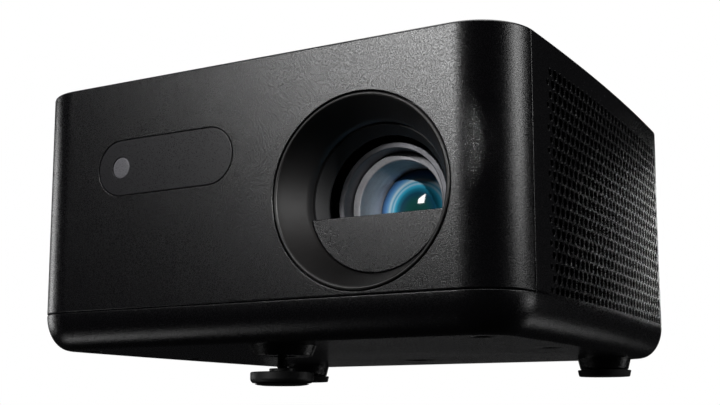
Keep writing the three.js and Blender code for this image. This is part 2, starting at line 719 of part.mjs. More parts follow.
// Fins joined by a web on the fan side, drawn in plan.
function heatSink() {
  const first = FAN_Y - SINK_SPAN / 2;
  const pitch = (SINK_SPAN - SINK_FIN) / (SINK_FINS - 1);
  const comb = new THREE.Shape();
  comb.moveTo(SINK_LEFT, first);
  for (let i = 0; i < SINK_FINS; i += 1) {
    const y = first + i * pitch;
    if (i > 0) comb.lineTo(SINK_LEFT + SINK_BACK, y);
    comb.lineTo(SINK_RIGHT, y);
    comb.lineTo(SINK_RIGHT, y + SINK_FIN);
    if (i < SINK_FINS - 1) comb.lineTo(SINK_LEFT + SINK_BACK, y + SINK_FIN);
  }
  comb.lineTo(SINK_LEFT, first + SINK_SPAN);
  comb.closePath();
  return extrudeUp(comb, LENS_HEIGHT - SINK_TALL / 2, LENS_HEIGHT + SINK_TALL / 2);
}

// Runs along the plate, bends, and ends against the fins.
function heatPipe(start, y, z) {
  const route = new THREE.CatmullRomCurve3([
    new THREE.Vector3(start, ENGINE_FRONT + LED_SIZE / 2, z),
    new THREE.Vector3(start, (ENGINE_FRONT + y) / 2, z),
    new THREE.Vector3(start - 4 * PIPE_RADIUS, y - PIPE_RADIUS / 2, z),
    new THREE.Vector3(SINK_RIGHT + FIT_GAP, y, z),
  ]);
  const circle = new THREE.Shape();
  circle.absarc(0, 0, PIPE_RADIUS, 0, 2 * Math.PI, false);
  return new THREE.ExtrudeGeometry(circle, { steps: 12, curveSegments: 4, extrudePath: route });
}

function addCooling() {
  const right = ENGINE_LEFT - LED_SIZE / 2 - 2 * FIT_GAP;
  const left = right - PLATE_THICKNESS;
  const low = LENS_HEIGHT - LED_SIZE;
  const high = LENS_HEIGHT + LED_SIZE;
  addPiece('light_base_plate', block(left, right, ENGINE_FRONT, ENGINE_BACK, low, high), 'copper');
  const pipeStart = left - PIPE_CLEARANCE - PIPE_RADIUS;
  addPiece('heat_pipe_lower', heatPipe(pipeStart, FAN_Y - LED_SIZE, LENS_HEIGHT - LED_SIZE / 2), 'copper');
  addPiece('heat_pipe_upper', heatPipe(pipeStart, FAN_Y + LED_SIZE, LENS_HEIGHT + LED_SIZE / 2), 'copper');
  addPiece('heat_sink', heatSink(), 'aluminium');
}

// ---- Fans behind the side panels ----

function fanFrame() {
  const back = -FAN_THICKNESS / 2;
  const body = slab(FAN_SIZE, FAN_SIZE, FAN_THICKNESS);
  const bore = rodAlongZ(FAN_BORE, -FAN_THICKNESS, FAN_THICKNESS, ROUND);
  const mount = rodAlongZ(FAN_HUB, back, back + SPIDER_THICKNESS);
  const spokes = [0.25, 0.75].map((turn) => (
    slab(2 * FAN_BORE + WALL, SPOKE_WIDTH, SPIDER_THICKNESS)
      .translate(0, 0, back + SPIDER_THICKNESS / 2)
      .rotateZ(turn * Math.PI)
  ));
  return join(cut(body, bore), mount, ...spokes);
}

function fanImpeller() {
  const near = SPIDER_THICKNESS + 2 * FIT_GAP - FAN_THICKNESS / 2;
  const far = FAN_THICKNESS / 2 - 1;
  const root = FAN_HUB - 2;
  const tip = FAN_BORE - BLADE_CLEARANCE;
  const blades = Array.from({ length: FAN_BLADES }, (_, i) => (
    slab(tip - root, BLADE_WIDTH, BLADE_THICKNESS)
      .rotateX(BLADE_PITCH)
      .translate((tip + root) / 2, 0, (near + far) / 2)
      .rotateZ((i / FAN_BLADES) * 2 * Math.PI)
  ));
  return join(rodAlongZ(FAN_HUB, near, far), ...blades);
}

function addFan(name, side) {
  const fan = addGroup(side * (INNER_SIDE - SIDE_ROOM - FAN_THICKNESS / 2), FAN_Y, FAN_HEIGHT);
  fan.rotation.y = (side * Math.PI) / 2;
  addPiece(`${name}_fan_frame`, fanFrame(), 'satinBlack', fan);
  addPiece(`${name}_fan_impeller`, fanImpeller(), 'satinBlack', fan);
}

// Thin foam sheet behind each perforated panel.
function addFilter(name, side) {
  const sheet = slab(FILTER_THICKNESS, 2 * (COVER_SEAM - FILTER_MARGIN), FILTER_TALL)
    .translate(side * (INNER_SIDE - 2 * FIT_GAP - FILTER_THICKNESS / 2), 0, FILTER_HEIGHT);
  addPiece(`dust_filter_${name}`, sheet, 'foam');
}

// ---- Speakers ----

function speakerBox() {
  const body = slab(SPEAKER_WIDTH, SPEAKER_TALL, SPEAKER_THICK);
  const floor = SPEAKER_THICK / 2 - SPEAKER_DEPTH - FIT_GAP;
  const seat = rodAlongZ(SPEAKER_RADIUS + FIT_GAP, floor, SPEAKER_THICK, ROUND);
  return cut(body, seat);
}

function speakerDriver() {
  const top = SPEAKER_THICK / 2;
  const back = top - SPEAKER_DEPTH;
  return turned([
    [0, back],
    [SPEAKER_RADIUS / 2, back],
    [SPEAKER_RADIUS, top - CONE_RIM],
    [SPEAKER_RADIUS, top],
    [SPEAKER_RADIUS - CONE_RIM, top],
    [SPEAKER_RADIUS - 2 * CONE_RIM, top - CONE_RIM / 2],
    [CONE_CAP, top - 2 * CONE_RIM],
    [0, top - CONE_RIM],
  ]).rotateX(Math.PI / 2);
}

function addSpeaker(name, side) {
  const speaker = addGroup(side * (INNER_SIDE - SIDE_ROOM - SPEAKER_THICK / 2), SPEAKER_Y, SPEAKER_HEIGHT);
  speaker.rotation.y = (side * Math.PI) / 2;
  addPiece(`speaker_box_${name}`, speakerBox().rotateZ(Math.PI / 2), 'satinBlack', speaker);
  addPiece(`speaker_driver_${name}`, speakerDriver(), 'rubber', speaker);
}

// ---- Chassis, boards and rear panel ----

function boardPlate(height, thickness, front, rear, halfWidth) {
  return block(-halfWidth, halfWidth, front, rear, height, height + thickness);
}

function addBoards() {
  const chassis = cut(
    boardPlate(CHASSIS_HEIGHT, CHASSIS_THICKNESS, SCREW_ROWS[0], BOARD_REAR, SCREW_X + SCREW_RECESS),
    ...atScrews(screwBore),
    rodAlongZ(INSERT_RADIUS + WALL, 0, BODY_TOP).translate(0, FOOT_Y, 0),
  );
  addPiece('chassis_plate', chassis, 'steel');
  const front = BOARD_REAR - BOARD_LENGTH;
  const main = boardPlate(MAIN_BOARD_HEIGHT, BOARD_THICKNESS, front, BOARD_REAR, BOARD_HALF_WIDTH);
  addPiece('main_board', main, 'board');
  const driver = slab(SINK_RIGHT - SINK_LEFT, DRIVER_LENGTH, BOARD_THICKNESS);
  const driverPiece = addPiece('led_driver_board', driver, 'board');
  driverPiece.position.set((SINK_LEFT + SINK_RIGHT) / 2, DRIVER_FRONT + DRIVER_LENGTH / 2, LENS_HEIGHT);
}

const PANEL_FACE = HALF_DEPTH - PANEL_SINK;
const PORT_FLOOR = MAIN_BOARD_HEIGHT + BOARD_THICKNESS + FIT_GAP;

// Connectors from left to right as seen from above, each standing on the main board.
const PORTS = [
  { name: 'audio_jack', x: -40, width: 7, tall: 7, finish: 'satinBlack' },
  { name: 'usb_port', x: -22, width: 13.6, tall: 6.4, socket: [12.2, 4.8], finish: 'steel' },
  { name: 'hdmi_port', x: 0, width: 15.4, tall: 6, socket: [14, 4.5], finish: 'steel' },
  { name: 'power_inlet', x: 27, width: 10, tall: 11, finish: 'satinBlack' },
];

function portBlock({ name, width, tall, socket }) {
  const body = slab(width, PORT_DEPTH, tall);
  const mouth = PORT_DEPTH / 2;
  const floor = mouth - SOCKET_DEPTH;
  if (socket) {
    const [halfWidth, halfTall] = socket.map((size) => size / 2);
    return cut(body, block(-halfWidth, halfWidth, floor, mouth + 1, -halfTall, halfTall));
  }
  const radius = name === 'audio_jack' ? AUDIO_RADIUS : INLET_RADIUS;
  const bored = cut(body, rodAlongY(radius, floor, mouth + 1));
  if (name === 'audio_jack') return bored;
  return join(bored, rodAlongY(INLET_PIN, floor - 1, mouth - 1));
}

function addPorts() {
  for (const port of PORTS) {
    const mesh = addPiece(port.name, portBlock(port), port.finish);
    mesh.position.set(port.x, PANEL_FACE - PORT_DEPTH / 2, PORT_FLOOR + port.tall / 2);
  }
}

function ioPanel() {
  const body = block(
    PANEL_X - PANEL_WIDTH / 2,
    PANEL_X + PANEL_WIDTH / 2,
    PANEL_FACE - PANEL_THICKNESS,
    PANEL_FACE,
    PANEL_HEIGHT - PANEL_TALL / 2,
    PANEL_HEIGHT + PANEL_TALL / 2,
  );
  const openings = PORTS.map(({ x, width, tall }) => (
    slab(width + 2 * FIT_GAP, PORT_DEPTH, tall + 2 * FIT_GAP).translate(x, PANEL_FACE, PORT_FLOOR + tall / 2)
  ));
  const buttonHole = rodAlongY(BUTTON_RADIUS + FIT_GAP, PANEL_FACE - 2 * PANEL_THICKNESS, PANEL_FACE + WALL)
    .translate(BUTTON_X, 0, PANEL_HEIGHT);
  return cut(body, ...openings, buttonHole);
}

function powerButton() {
  const shoulder = PANEL_FACE - PANEL_THICKNESS - FIT_GAP;
  const back = shoulder - BUTTON_FLANGE_THICKNESS;
  const flange = BUTTON_RADIUS + BUTTON_FLANGE;
  const front = PANEL_FACE + BUTTON_PROUD;
  const profile = [
    [0, back],
    [flange, back],
    [flange, shoulder],
    [BUTTON_RADIUS, shoulder],
    [BUTTON_RADIUS, front],
    [0, front],
  ];
  return turned(profile, SMALL_ROUND);
}

function addRearPanel() {
  addPiece('io_panel', ioPanel(), 'satinBlack');
  addPiece('power_button', powerButton(), 'satinBlack').position.set(BUTTON_X, 0, PANEL_HEIGHT);
  addPorts();
}

// ---- Feet and fasteners ----

function footScrew() {
  const top = SOLE_THICKNESS + DISC_THICKNESS;
  const bevel = SOLE_THICKNESS + DISC_CHAMFER;
  const lower = rodAlongZ(DISC_RADIUS - DISC_CHAMFER, SOLE_THICKNESS, bevel, ROUND, DISC_RADIUS);
  const upper = rodAlongZ(DISC_RADIUS, bevel, top, ROUND);
  const collar = rodAlongZ(COLLAR_RADIUS, bevel, top + COLLAR_TALL);
  const stem = rodAlongZ(STEM_RADIUS, top, STEM_TOP);
  return join(lower, upper, collar, stem);
}

function addFeet() {
  const foot = addGroup(0, FOOT_Y, 0);
  const insertFloor = FRONT_BOSS_BOTTOM + COLLAR_TALL + 2 * FIT_GAP;
  const bore = STEM_RADIUS + FIT_GAP;
  const insert = ring(bore, INSERT_RADIUS, insertFloor, insertFloor + INSERT_TALL, SMALL_ROUND);
  addPiece('front_foot_insert', insert.rotateX(Math.PI / 2), 'brass', foot);
  addPiece('front_foot_screw', footScrew(), 'moulded', foot);
  addPiece('front_foot_sole', rodAlongZ(SOLE_RADIUS, 0, SOLE_THICKNESS - FIT_GAP), 'rubber', foot);
  REAR_FEET.forEach((x, i) => {
    const pad = rodAlongZ(PAD_RADIUS - 0.5, PAD_BOTTOM, REAR_BOSS_BOTTOM - FIT_GAP, ROUND, PAD_RADIUS);
    addPiece(`rear_foot_pad_${i + 1}`, pad, 'rubber').position.set(x, REAR_FOOT_Y, 0);
  });
}

function caseScrew() {
  const headTop = BASE_BOTTOM + SCREW_RECESS_TALL - FIT_GAP;
  const head = rodAlongZ(SCREW_HEAD, headTop - SCREW_HEAD_TALL, headTop);
  const socket = rodAlongZ(SCREW_SHANK / 2, 0, headTop - SCREW_HEAD_TALL / 2, 6);
  const shank = rodAlongZ(SCREW_SHANK, headTop - SCREW_HEAD_TALL / 4, headTop + SCREW_LENGTH, 12);
  return join(cut(head, socket), shank);
}

function addFasteners() {
  SCREW_PLACES.forEach(([x, y], i) => {
    addPiece(`case_screw_${i + 1}`, caseScrew(), 'steel').position.set(x, y, 0);
  });
  const bush = ring(TRIPOD_BORE, TRIPOD_RADIUS, BASE_BOTTOM, BASE_BOTTOM + TRIPOD_TALL, SMALL_ROUND);
  addPiece('tripod_insert', bush.rotateX(Math.PI / 2), 'brass').position.set(0, TRIPOD_Y, 0);
}

// ---- The whole projector ----

addShell();
addLens();
addSensors();
addEngine();
addCooling();
addFan('exhaust', -1);
addFan('intake', 1);
addFilter('left', -1);
addFilter('right', 1);
addSpeaker('left', -1);
addSpeaker('right', 1);
addBoards();
addRearPanel();
addFeet();
addFasteners();

export default projector;
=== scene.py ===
# Compact home projector: a black moulded shell on a shallow tray, a sunk lens behind a
# half-moon shade, a smoked sensor window, perforated sides and a screw-adjusted front foot.
import math

import bmesh
import bpy
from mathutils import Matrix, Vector


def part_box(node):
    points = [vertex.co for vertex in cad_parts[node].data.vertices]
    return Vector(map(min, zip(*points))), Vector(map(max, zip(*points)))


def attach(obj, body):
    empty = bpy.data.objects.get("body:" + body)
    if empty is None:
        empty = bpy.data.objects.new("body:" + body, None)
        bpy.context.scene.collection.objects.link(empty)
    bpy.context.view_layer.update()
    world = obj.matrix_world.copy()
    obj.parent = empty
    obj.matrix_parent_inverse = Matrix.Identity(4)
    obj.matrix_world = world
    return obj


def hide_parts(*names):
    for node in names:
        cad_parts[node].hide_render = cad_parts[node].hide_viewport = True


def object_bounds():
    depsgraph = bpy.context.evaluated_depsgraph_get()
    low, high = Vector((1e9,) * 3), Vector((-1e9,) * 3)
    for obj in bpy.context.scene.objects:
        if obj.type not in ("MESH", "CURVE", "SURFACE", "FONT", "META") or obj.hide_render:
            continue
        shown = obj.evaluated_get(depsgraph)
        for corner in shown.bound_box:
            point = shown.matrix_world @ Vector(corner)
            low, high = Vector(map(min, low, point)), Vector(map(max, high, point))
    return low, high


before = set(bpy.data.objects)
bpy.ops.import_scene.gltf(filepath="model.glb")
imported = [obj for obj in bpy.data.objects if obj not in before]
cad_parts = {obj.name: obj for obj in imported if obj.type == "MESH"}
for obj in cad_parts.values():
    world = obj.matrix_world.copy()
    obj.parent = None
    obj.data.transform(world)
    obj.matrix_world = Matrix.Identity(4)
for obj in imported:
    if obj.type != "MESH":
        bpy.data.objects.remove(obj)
CAD_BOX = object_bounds()

# Sizes below are in millimetres, and Blender's unit is the metre.
MM = 0.001


# ---- Camera ----
# Low beside the right front corner, tilted up a little, so that the front, the right side
# and the underside all show.
CAMERA_PLACE = (235.1, -434.9, -12.4)
CAMERA_TURN = 28.969
CAMERA_TILT = 7.978

lens_data = bpy.data.cameras.new("camera")
lens_data.sensor_width = 36
lens_data.lens = 56.62
lens_data.shift_y = 0.08
lens_data.clip_start = 0.01
camera = bpy.data.objects.new("camera", lens_data)
bpy.context.scene.collection.objects.link(camera)
camera.location = Vector(CAMERA_PLACE) * MM
camera.rotation_euler = (math.radians(90 + CAMERA_TILT), 0, math.radians(CAMERA_TURN))
bpy.context.scene.camera = camera
bpy.context.scene.view_settings.view_transform = "Standard"


# ---- Base tray ----
# Shallow dish of injection-moulded ABS with a rounded lower edge. It carries the chassis on
# four posts, and has bosses for the feet, sunk screw holes and a seat for the tripod bush.
# The plan has flat ends, round corners and sides that bow out a little.
def size_of(node):
    low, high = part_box(node)
    return [(low[i] / MM, high[i] / MM) for i in range(3)]


HALF_WIDTH = CAD_BOX[1][0] / MM
HALF_DEPTH = -size_of("front_cover")[1][0]
BODY_TOP = CAD_BOX[1][2] / MM
CORNER = 22
CROWN = 1.8
WALL = 2.5
EDGE_RUN = 10
RIM_ROUND = 0.4
TRAY_RIM = size_of("base_tray")[2][1]
TRAY_BOTTOM = 15
HALF_SEAM = 0.15
SEAM = TRAY_RIM + HALF_SEAM
CORNER_STEPS = 18
SIDE_STEPS = 30
EDGE_STEPS = 14
FRONT_FOOT = (0, -HALF_DEPTH + 28.7)
REAR_FEET = [(-80.4, 76.4), (80.4, 76.4)]
SCREW_PLACES = [(x, y) for x in (-86, 86) for y in (-80, -12)]
TRIPOD_PLACE = (0, 48)
SAME_POINT = 1e-3
AXIS_RADIUS = 1e-4


def body_plan(inset):
    """The body's outline in plan, pulled in by inset, anticlockwise from the front right corner."""
    radius = CORNER - inset
    x = HALF_WIDTH - CROWN - CORNER
    y = HALF_DEPTH - CORNER
    side_radius = (y * y + CROWN * CROWN) / (2 * CROWN)
    side_centre = x + radius + CROWN - side_radius
    sweep = math.asin(y / side_radius)
    arcs = [
        (x, -y, radius, -math.pi / 2, 0, CORNER_STEPS),
        (side_centre, 0, side_radius, -sweep, sweep, SIDE_STEPS),
        (x, y, radius, 0, math.pi / 2, CORNER_STEPS),
        (-x, y, radius, math.pi / 2, math.pi, CORNER_STEPS),
        (-side_centre, 0, side_radius, math.pi - sweep, math.pi + sweep, SIDE_STEPS),
        (-x, -y, radius, math.pi, 1.5 * math.pi, CORNER_STEPS),
    ]
    outline = []
    for cx, cy, r, start, end, steps in arcs:
        for i in range(steps + 1):
            turn = start + (end - start) * i / steps
            point = (cx + r * math.cos(turn), cy + r * math.sin(turn))
            if not outline or math.dist(point, outline[-1]) > SAME_POINT:
                outline.append(point)
    return outline


def at_height(outline, z):
    return [(x, y, z) for x, y in outline]


def full_turn(steps):
    return [2 * math.pi * i / steps for i in range(steps)]


def quarter(steps):
    """The angles of a quarter round, both ends included."""
    return [math.pi / 2 * i / steps for i in range(steps + 1)]


def circle(radius, z, place, steps):
    """A level circle. It runs anticlockwise, seen from above."""
    return [(place[0] + radius * math.cos(t), place[1] + radius * math.sin(t), z) for t in full_turn(steps)]


def make_shape(name, points, faces):
    """A mesh object from points in millimetres, with doubled points merged."""
    mesh = bpy.data.meshes.new(name)
    build = bmesh.new()
    corners = [build.verts.new(Vector(p) * MM) for p in points]
    for face in faces:
        build.faces.new([corners[i] for i in face])
    bmesh.ops.remove_doubles(build, verts=build.verts, dist=1e-7)
    bmesh.ops.recalc_face_normals(build, faces=build.faces)
    build.to_mesh(mesh)
    build.free()
    shape = bpy.data.objects.new(name, mesh)
    bpy.context.scene.collection.objects.link(shape)
    return shape


def skin(name, rings, ends="capped"):
    """Joins a stack of rings. Its two ends are capped, or joined to each other."""
    count = len(rings[0])
    last = len(rings) if ends == "joined" else len(rings) - 1
    faces = []
    for row in range(last):
        near, far = row * count, ((row + 1) % len(rings)) * count
        for i in range(count):
            k = (i + 1) % count
            faces.append((near + i, near + k, far + k, far + i))
    if ends == "capped":
        faces.append(tuple(range(count))[::-1])
        faces.append(tuple(range(last * count, (last + 1) * count)))
    return make_shape(name, [p for ring in rings for p in ring], faces)


def carve(piece, *tools, operation="DIFFERENCE"):
    """Cuts the tools out of a piece, or joins them to it."""
    for tool in tools:
        step = piece.modifiers.new("carve", "BOOLEAN")
        step.operation = operation
        step.solver = "EXACT"
        step.object = tool
    bpy.context.view_layer.update()
    view = bpy.context.evaluated_depsgraph_get()
    shaped = bpy.data.meshes.new_from_object(piece.evaluated_get(view))
    piece.modifiers.clear()
    piece.data = shaped
    for tool in tools:
        bpy.data.objects.remove(tool)
    return piece


def rounded(radius):
    """Steps of a quarter round as (distance from the edge, sink below the face)."""
    return [(radius * (1 - math.cos(t)), radius * (1 - math.sin(t))) for t in quarter(4)]


def post(name, place, profile, steps=64):
    """A turned shape on a vertical axis, from (radius, height) pairs."""
    return skin(name, [circle(max(r, AXIS_RADIUS), z, place, steps) for r, z in profile])


def hex_colour(text):
    """An sRGB hex value as linear red, green, blue and alpha."""
    shares = [int(text[i:i + 2], 16) / 255 for i in (1, 3, 5)]
    return [s / 12.92 if s <= 0.04045 else ((s + 0.055) / 1.055) ** 2.4 for s in shares] + [1]


def add_node(tree, kind, inputs=None, stops=(), **settings):
    """Adds a node. An input is a value, an output, or a node that feeds it through its first one."""
    added = tree.nodes.new("ShaderNode" + kind)
    for name, value in settings.items():
        setattr(added, name, value)
    for name, value in (inputs or {}).items():
        if isinstance(value, bpy.types.Node):
            value = value.outputs[0]
        if isinstance(value, bpy.types.NodeSocket):
            tree.links.new(value, added.inputs[name])
        else:
            added.inputs[name].default_value = value
    for number, (position, value) in enumerate(stops):
        ramp = added.color_ramp.elements
        stop = ramp[number] if number < len(ramp) else ramp.new(position)
        stop.position = position
        stop.color = hex_colour(value) if isinstance(value, str) else (value, value, value, 1)
    return added


def start_material(name):
    """An empty material, its node tree and the place on the object as a vector in metres."""
    material = bpy.data.materials.new(name)
    material.use_nodes = True
    material.node_tree.nodes.clear()
    place = add_node(material.node_tree, "TexCoord").outputs["Object"]
    return material, material.node_tree, place


# Spark-eroded ABS, moulded: satin black with a fine sparkling grain. The real grain is
# about 0.15 mm across. It is drawn at 0.36 mm, as coarse as it has to be to show.
GRAIN_SIZE = 0.36
GRAIN_DEPTH = 0.1
FLOW_SIZE = 45


def moulded_material(name, dark, light, rough, depth=GRAIN_DEPTH, grain_size=GRAIN_SIZE):
    """A moulded skin. The grain's tops are paler and duller than the glossy pits between them."""
    material, tree, place = start_material(name)
    grain = add_node(tree, "TexNoise", {
        "Vector": place, "Scale": 1 / (grain_size * MM), "Detail": 3, "Roughness": 0.65})
    flow = add_node(tree, "TexNoise", {"Vector": place, "Scale": 1 / (FLOW_SIZE * MM), "Detail": 2})
    tone = add_node(tree, "ValToRGB", {"Fac": grain}, [(0.3, dark), (0.7, light)])
    fine_gloss = add_node(tree, "ValToRGB", {"Fac": grain}, [(0.34, rough - 0.09), (0.66, rough + 0.12)])
    slow_gloss = add_node(tree, "ValToRGB", {"Fac": flow}, [(0.3, rough - 0.04), (0.7, rough + 0.04)])
    gloss = add_node(tree, "MixRGB", {"Fac": 0.25, "Color1": fine_gloss, "Color2": slow_gloss})
    bump = add_node(tree, "Bump", {"Height": grain, "Strength": 0.6, "Distance": depth * MM})
    shader = add_node(tree, "BsdfPrincipled", {
        "Base Color": tone, "Roughness": gloss, "IOR": 1.53, "Normal": bump})
    add_node(tree, "OutputMaterial", {"Surface": shader})
    return material


spark_abs = moulded_material("spark_textured_abs", "#08080a", "#0f0e11", 0.245)


CREASE_ANGLE = 38


def fit(piece, material, nodes=(), body="case"):
    """Finishes a piece: its material, soft edges, the body it moves with and what it stands for."""
    piece.data.materials.clear()
    piece.data.materials.append(material)
    piece.data.shade_smooth()
    piece.data.set_sharp_from_angle(angle=math.radians(CREASE_ANGLE))
    weighted = piece.modifiers.new("even_faces", "WEIGHTED_NORMAL")
    weighted.keep_sharp = True
    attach(piece, body)
    if nodes:
        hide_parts(*nodes)
    return piece


def tray_rings(wall):
    """Rings of the dish from its floor up to the rim, pulled in by a wall."""
    rings = []
    for i in range(EDGE_STEPS + 1):
        turn = i / EDGE_STEPS * math.pi / 2
        z = SEAM - (SEAM - TRAY_BOTTOM - wall) * math.cos(turn)
        if z < TRAY_RIM - RIM_ROUND:
            rings.append(at_height(body_plan(wall + EDGE_RUN * (1 - math.sin(turn))), z))
    return rings


outside = tray_rings(0)
outside += [at_height(body_plan(run), TRAY_RIM - sink) for run, sink in rounded(RIM_ROUND)]
inside = [at_height(body_plan(WALL), TRAY_RIM)] + tray_rings(WALL)[::-1]
tray = skin("tray_shell", outside + inside)


# Bosses under the tray as (place, radius at the tray, radius at the foot, lowest height), posts
# on its floor as (place, radius, height, steps round), and the holes through both.
FRONT_BOSS_FOOT = 11.1
BOSSES = [(FRONT_FOOT, 13.4, 11.5, FRONT_BOSS_FOOT)] + [(place, 12.3, 10.9, 10) for place in REAR_FEET]
BOSS_EDGE = 0.6
POSTS = [(FRONT_FOOT, 6.5, 23.5, 32), (TRIPOD_PLACE, 9.5, 24, 48)]
POSTS += [(place, 6.5, 29.2, 32) for place in SCREW_PLACES]
POST_ROOT = 16.2
INSERT_HOLE = 5.2
STEM_HOLE = 4.3
BUSH_HOLE = 7.3
HEAD_HOLE = 4
SHANK_HOLE = 1.8
HOLE_FLARE = 0.4


def boss(place, top_radius, low_radius, low):
    profile = [(low_radius - BOSS_EDGE + BOSS_EDGE * math.sin(t), low + BOSS_EDGE - BOSS_EDGE * math.cos(t))
               for t in quarter(4)]
    return post("boss", place, profile + [(top_radius, TRAY_BOTTOM + WALL / 2)])


def flared_hole(place, radius, low, high):
    """A hole tool that opens downwards, with a small round at its mouth."""
    mouth = [(radius + HOLE_FLARE, low - 5), (radius + HOLE_FLARE, low)]
    mouth += [(radius + HOLE_FLARE - HOLE_FLARE * math.sin(t), low + HOLE_FLARE - HOLE_FLARE * math.cos(t))
              for t in quarter(4)[1:]]
    return post("hole", place, mouth + [(radius, high)], 48)


bosses = [boss(*size) for size in BOSSES]
posts = [post("post", place, [(radius, POST_ROOT), (radius, top)], steps)
         for place, radius, top, steps in POSTS]
carve(tray, *bosses, *posts, operation="UNION")
holes = [flared_hole(FRONT_FOOT, INSERT_HOLE, FRONT_BOSS_FOOT, 12.8),
         flared_hole(FRONT_FOOT, STEM_HOLE, 8, 30)]
holes += [flared_hole(TRIPOD_PLACE, BUSH_HOLE, TRAY_BOTTOM, 30)]
holes += [flared_hole(place, HEAD_HOLE, TRAY_BOTTOM, 19) for place in SCREW_PLACES]
holes += [flared_hole(place, SHANK_HOLE, 14, 40) for place in SCREW_PLACES]
carve(tray, *holes)
fit(tray, spark_abs, ["base_tray"])


# ---- Front cover ----
# One moulding in the same ABS that wraps round both front corners. A round opening takes the
# lens funnel and a long slot takes the sensor window, both with softened edges.
LENS_PLACE = (48.7, -HALF_DEPTH, 65.8)
(LENS_X, LENS_Y, LENS_Z) = LENS_PLACE
WINDOW_PLACE = (-36.4, -HALF_DEPTH, 85)
WINDOW_SIZE = (64.2, 21.9)
RECESS_RADIUS = 35.2
COVER_END = size_of("front_cover")[1][1]
COVER_FOOT = SEAM + HALF_SEAM
TOP_ROUND = 1.0
FOOT_ROUND = 0.5
SEAM_ROUND = 0.4
INNER_ROUND = 0.4
THIN_EDGE = 0.5
FIT_GAP = 0.3
CUT_DEPTH = 6
TOOL_CLEAR = 2
LENS_STEPS = 128
SLOT_END_STEPS = 24


def cover_section(sink):
    """The wall's section as (inset, height), its outer face pulled in by sink."""
    turns = quarter(5)
    foot = [(FOOT_ROUND * (1 - math.sin(t)), COVER_FOOT + FOOT_ROUND * (1 - math.cos(t))) for t in turns]
    top = [(TOP_ROUND * (1 - math.cos(t)), BODY_TOP - TOP_ROUND * (1 - math.sin(t))) for t in turns]
    inner = [(WALL - INNER_ROUND * (1 - math.sin(t)), BODY_TOP - INNER_ROUND * (1 - math.cos(t)))
             for t in turns]
    outer = [(min(inset + sink, WALL - THIN_EDGE), z) for inset, z in foot + top]
    return [(WALL, COVER_FOOT)] + outer + inner


def cover_stations():
    """Places along the wall from seam to seam, as (x, y, across, along, sink)."""
    x = HALF_WIDTH - CROWN - CORNER
    y = HALF_DEPTH - CORNER
    first = math.asin((-COVER_END - y) / CORNER)
    turns = [(first + run / CORNER, sink) for run, sink in rounded(SEAM_ROUND)]
    turns += [(first + (math.pi / 2 - first) * i / CORNER_STEPS, 0) for i in range(1, CORNER_STEPS + 1)]
    left = [(-x, -y, -math.cos(t), -math.sin(t), sink) for t, sink in turns]
    right = [(-px, py, -nx, ny, sink) for px, py, nx, ny, sink in left[::-1]]
    return left + right


def cover_wall(name, flip):
    """The wall of a cover. The rear one is the front one turned half round."""
    rings = []
    for px, py, nx, ny, sink in cover_stations():
        ring = [(px + nx * (CORNER - inset), py + ny * (CORNER - inset), z)
                for inset, z in cover_section(sink)]
        rings.append([(flip * a, flip * b, z) for a, b, z in ring])
    return skin(name, rings)


def upright_ring(radius, depth, place, steps):
    """A circle that faces the front, at a depth behind its place."""
    return [(place[0] + radius * math.cos(t), place[1] + depth, place[2] + radius * math.sin(t))
            for t in full_turn(steps)]


def turned(name, profile, place, steps, ends="joined"):
    """A turned shape on an axis along Y, from (radius, depth) pairs."""
    return skin(name, [upright_ring(radius, depth, place, steps) for radius, depth in profile], ends)


def flare(radius, round_edge, depth):
    """Profile of a hole tool that opens at the face with a small round."""
    mouth = [(radius + round_edge * (1 - math.sin(t)), round_edge * (1 - math.cos(t))) for t in quarter(5)]
    return [(radius + round_edge, -TOOL_CLEAR)] + mouth + [(radius, depth)]


def stadium(width, tall, place, depth):
    """A slot outline with round ends in X and Z, at a depth behind the front face."""
    radius = tall / 2
    reach = width / 2 - radius
    points = []
    for side, start in ((1, -math.pi / 2), (-1, math.pi / 2)):
        for i in range(SLOT_END_STEPS + 1):
            turn = start + math.pi * i / SLOT_END_STEPS
            points.append((place[0] + side * reach + radius * math.cos(turn), place[1] + depth,
                           place[2] + radius * math.sin(turn)))
    return points


front_cover = cover_wall("front_cover_wall", 1)
lens_hole = turned("hole", flare(RECESS_RADIUS, 0.3, CUT_DEPTH), LENS_PLACE, LENS_STEPS, "capped")
# The slot's tool opens like the round one: each ring stands out from the window by r - 1.
window_hole = skin("hole", [
    stadium(WINDOW_SIZE[0] + 2 * (r - 1), WINDOW_SIZE[1] + 2 * (r - 1), WINDOW_PLACE, depth)
    for r, depth in flare(1 + FIT_GAP * 0.7, 0.25, CUT_DEPTH)])
carve(front_cover, lens_hole, window_hole)
fit(front_cover, spark_abs, ["front_cover"])


# ---- Side grilles ----
# Bowed panels in the same ABS. Each has a field of moulded round holes in staggered rows, which
# fade in over the first columns. They breathe for the fans and let the speakers through.
ROWS = 20
HOLES_IN_ROW = 31
ROW_PITCH = 4.084
HOLE_PITCH = 4.8
TOP_ROW = 108.6
FIRST_HOLE = -67.2
HOLE_RADIUS = 1.85
HOLE_EDGE = 0.2
HOLE_STEPS = 24
FADE_IN = [0.55, 0.72, 0.88, 1]
GRILLE_END = size_of("side_grille_right")[1][1]
GRID = HOLE_PITCH / 4
DEEPEST_SINK = 1.3
# The grid points round one hole, as steps from the lower left corner of its patch.
PATCH_EDGE = [(4, 1), (4, 2), (3, 2), (2, 2), (1, 2), (0, 2), (0, 1), (0, 0), (1, 0), (2, 0), (3, 0), (4, 0)]


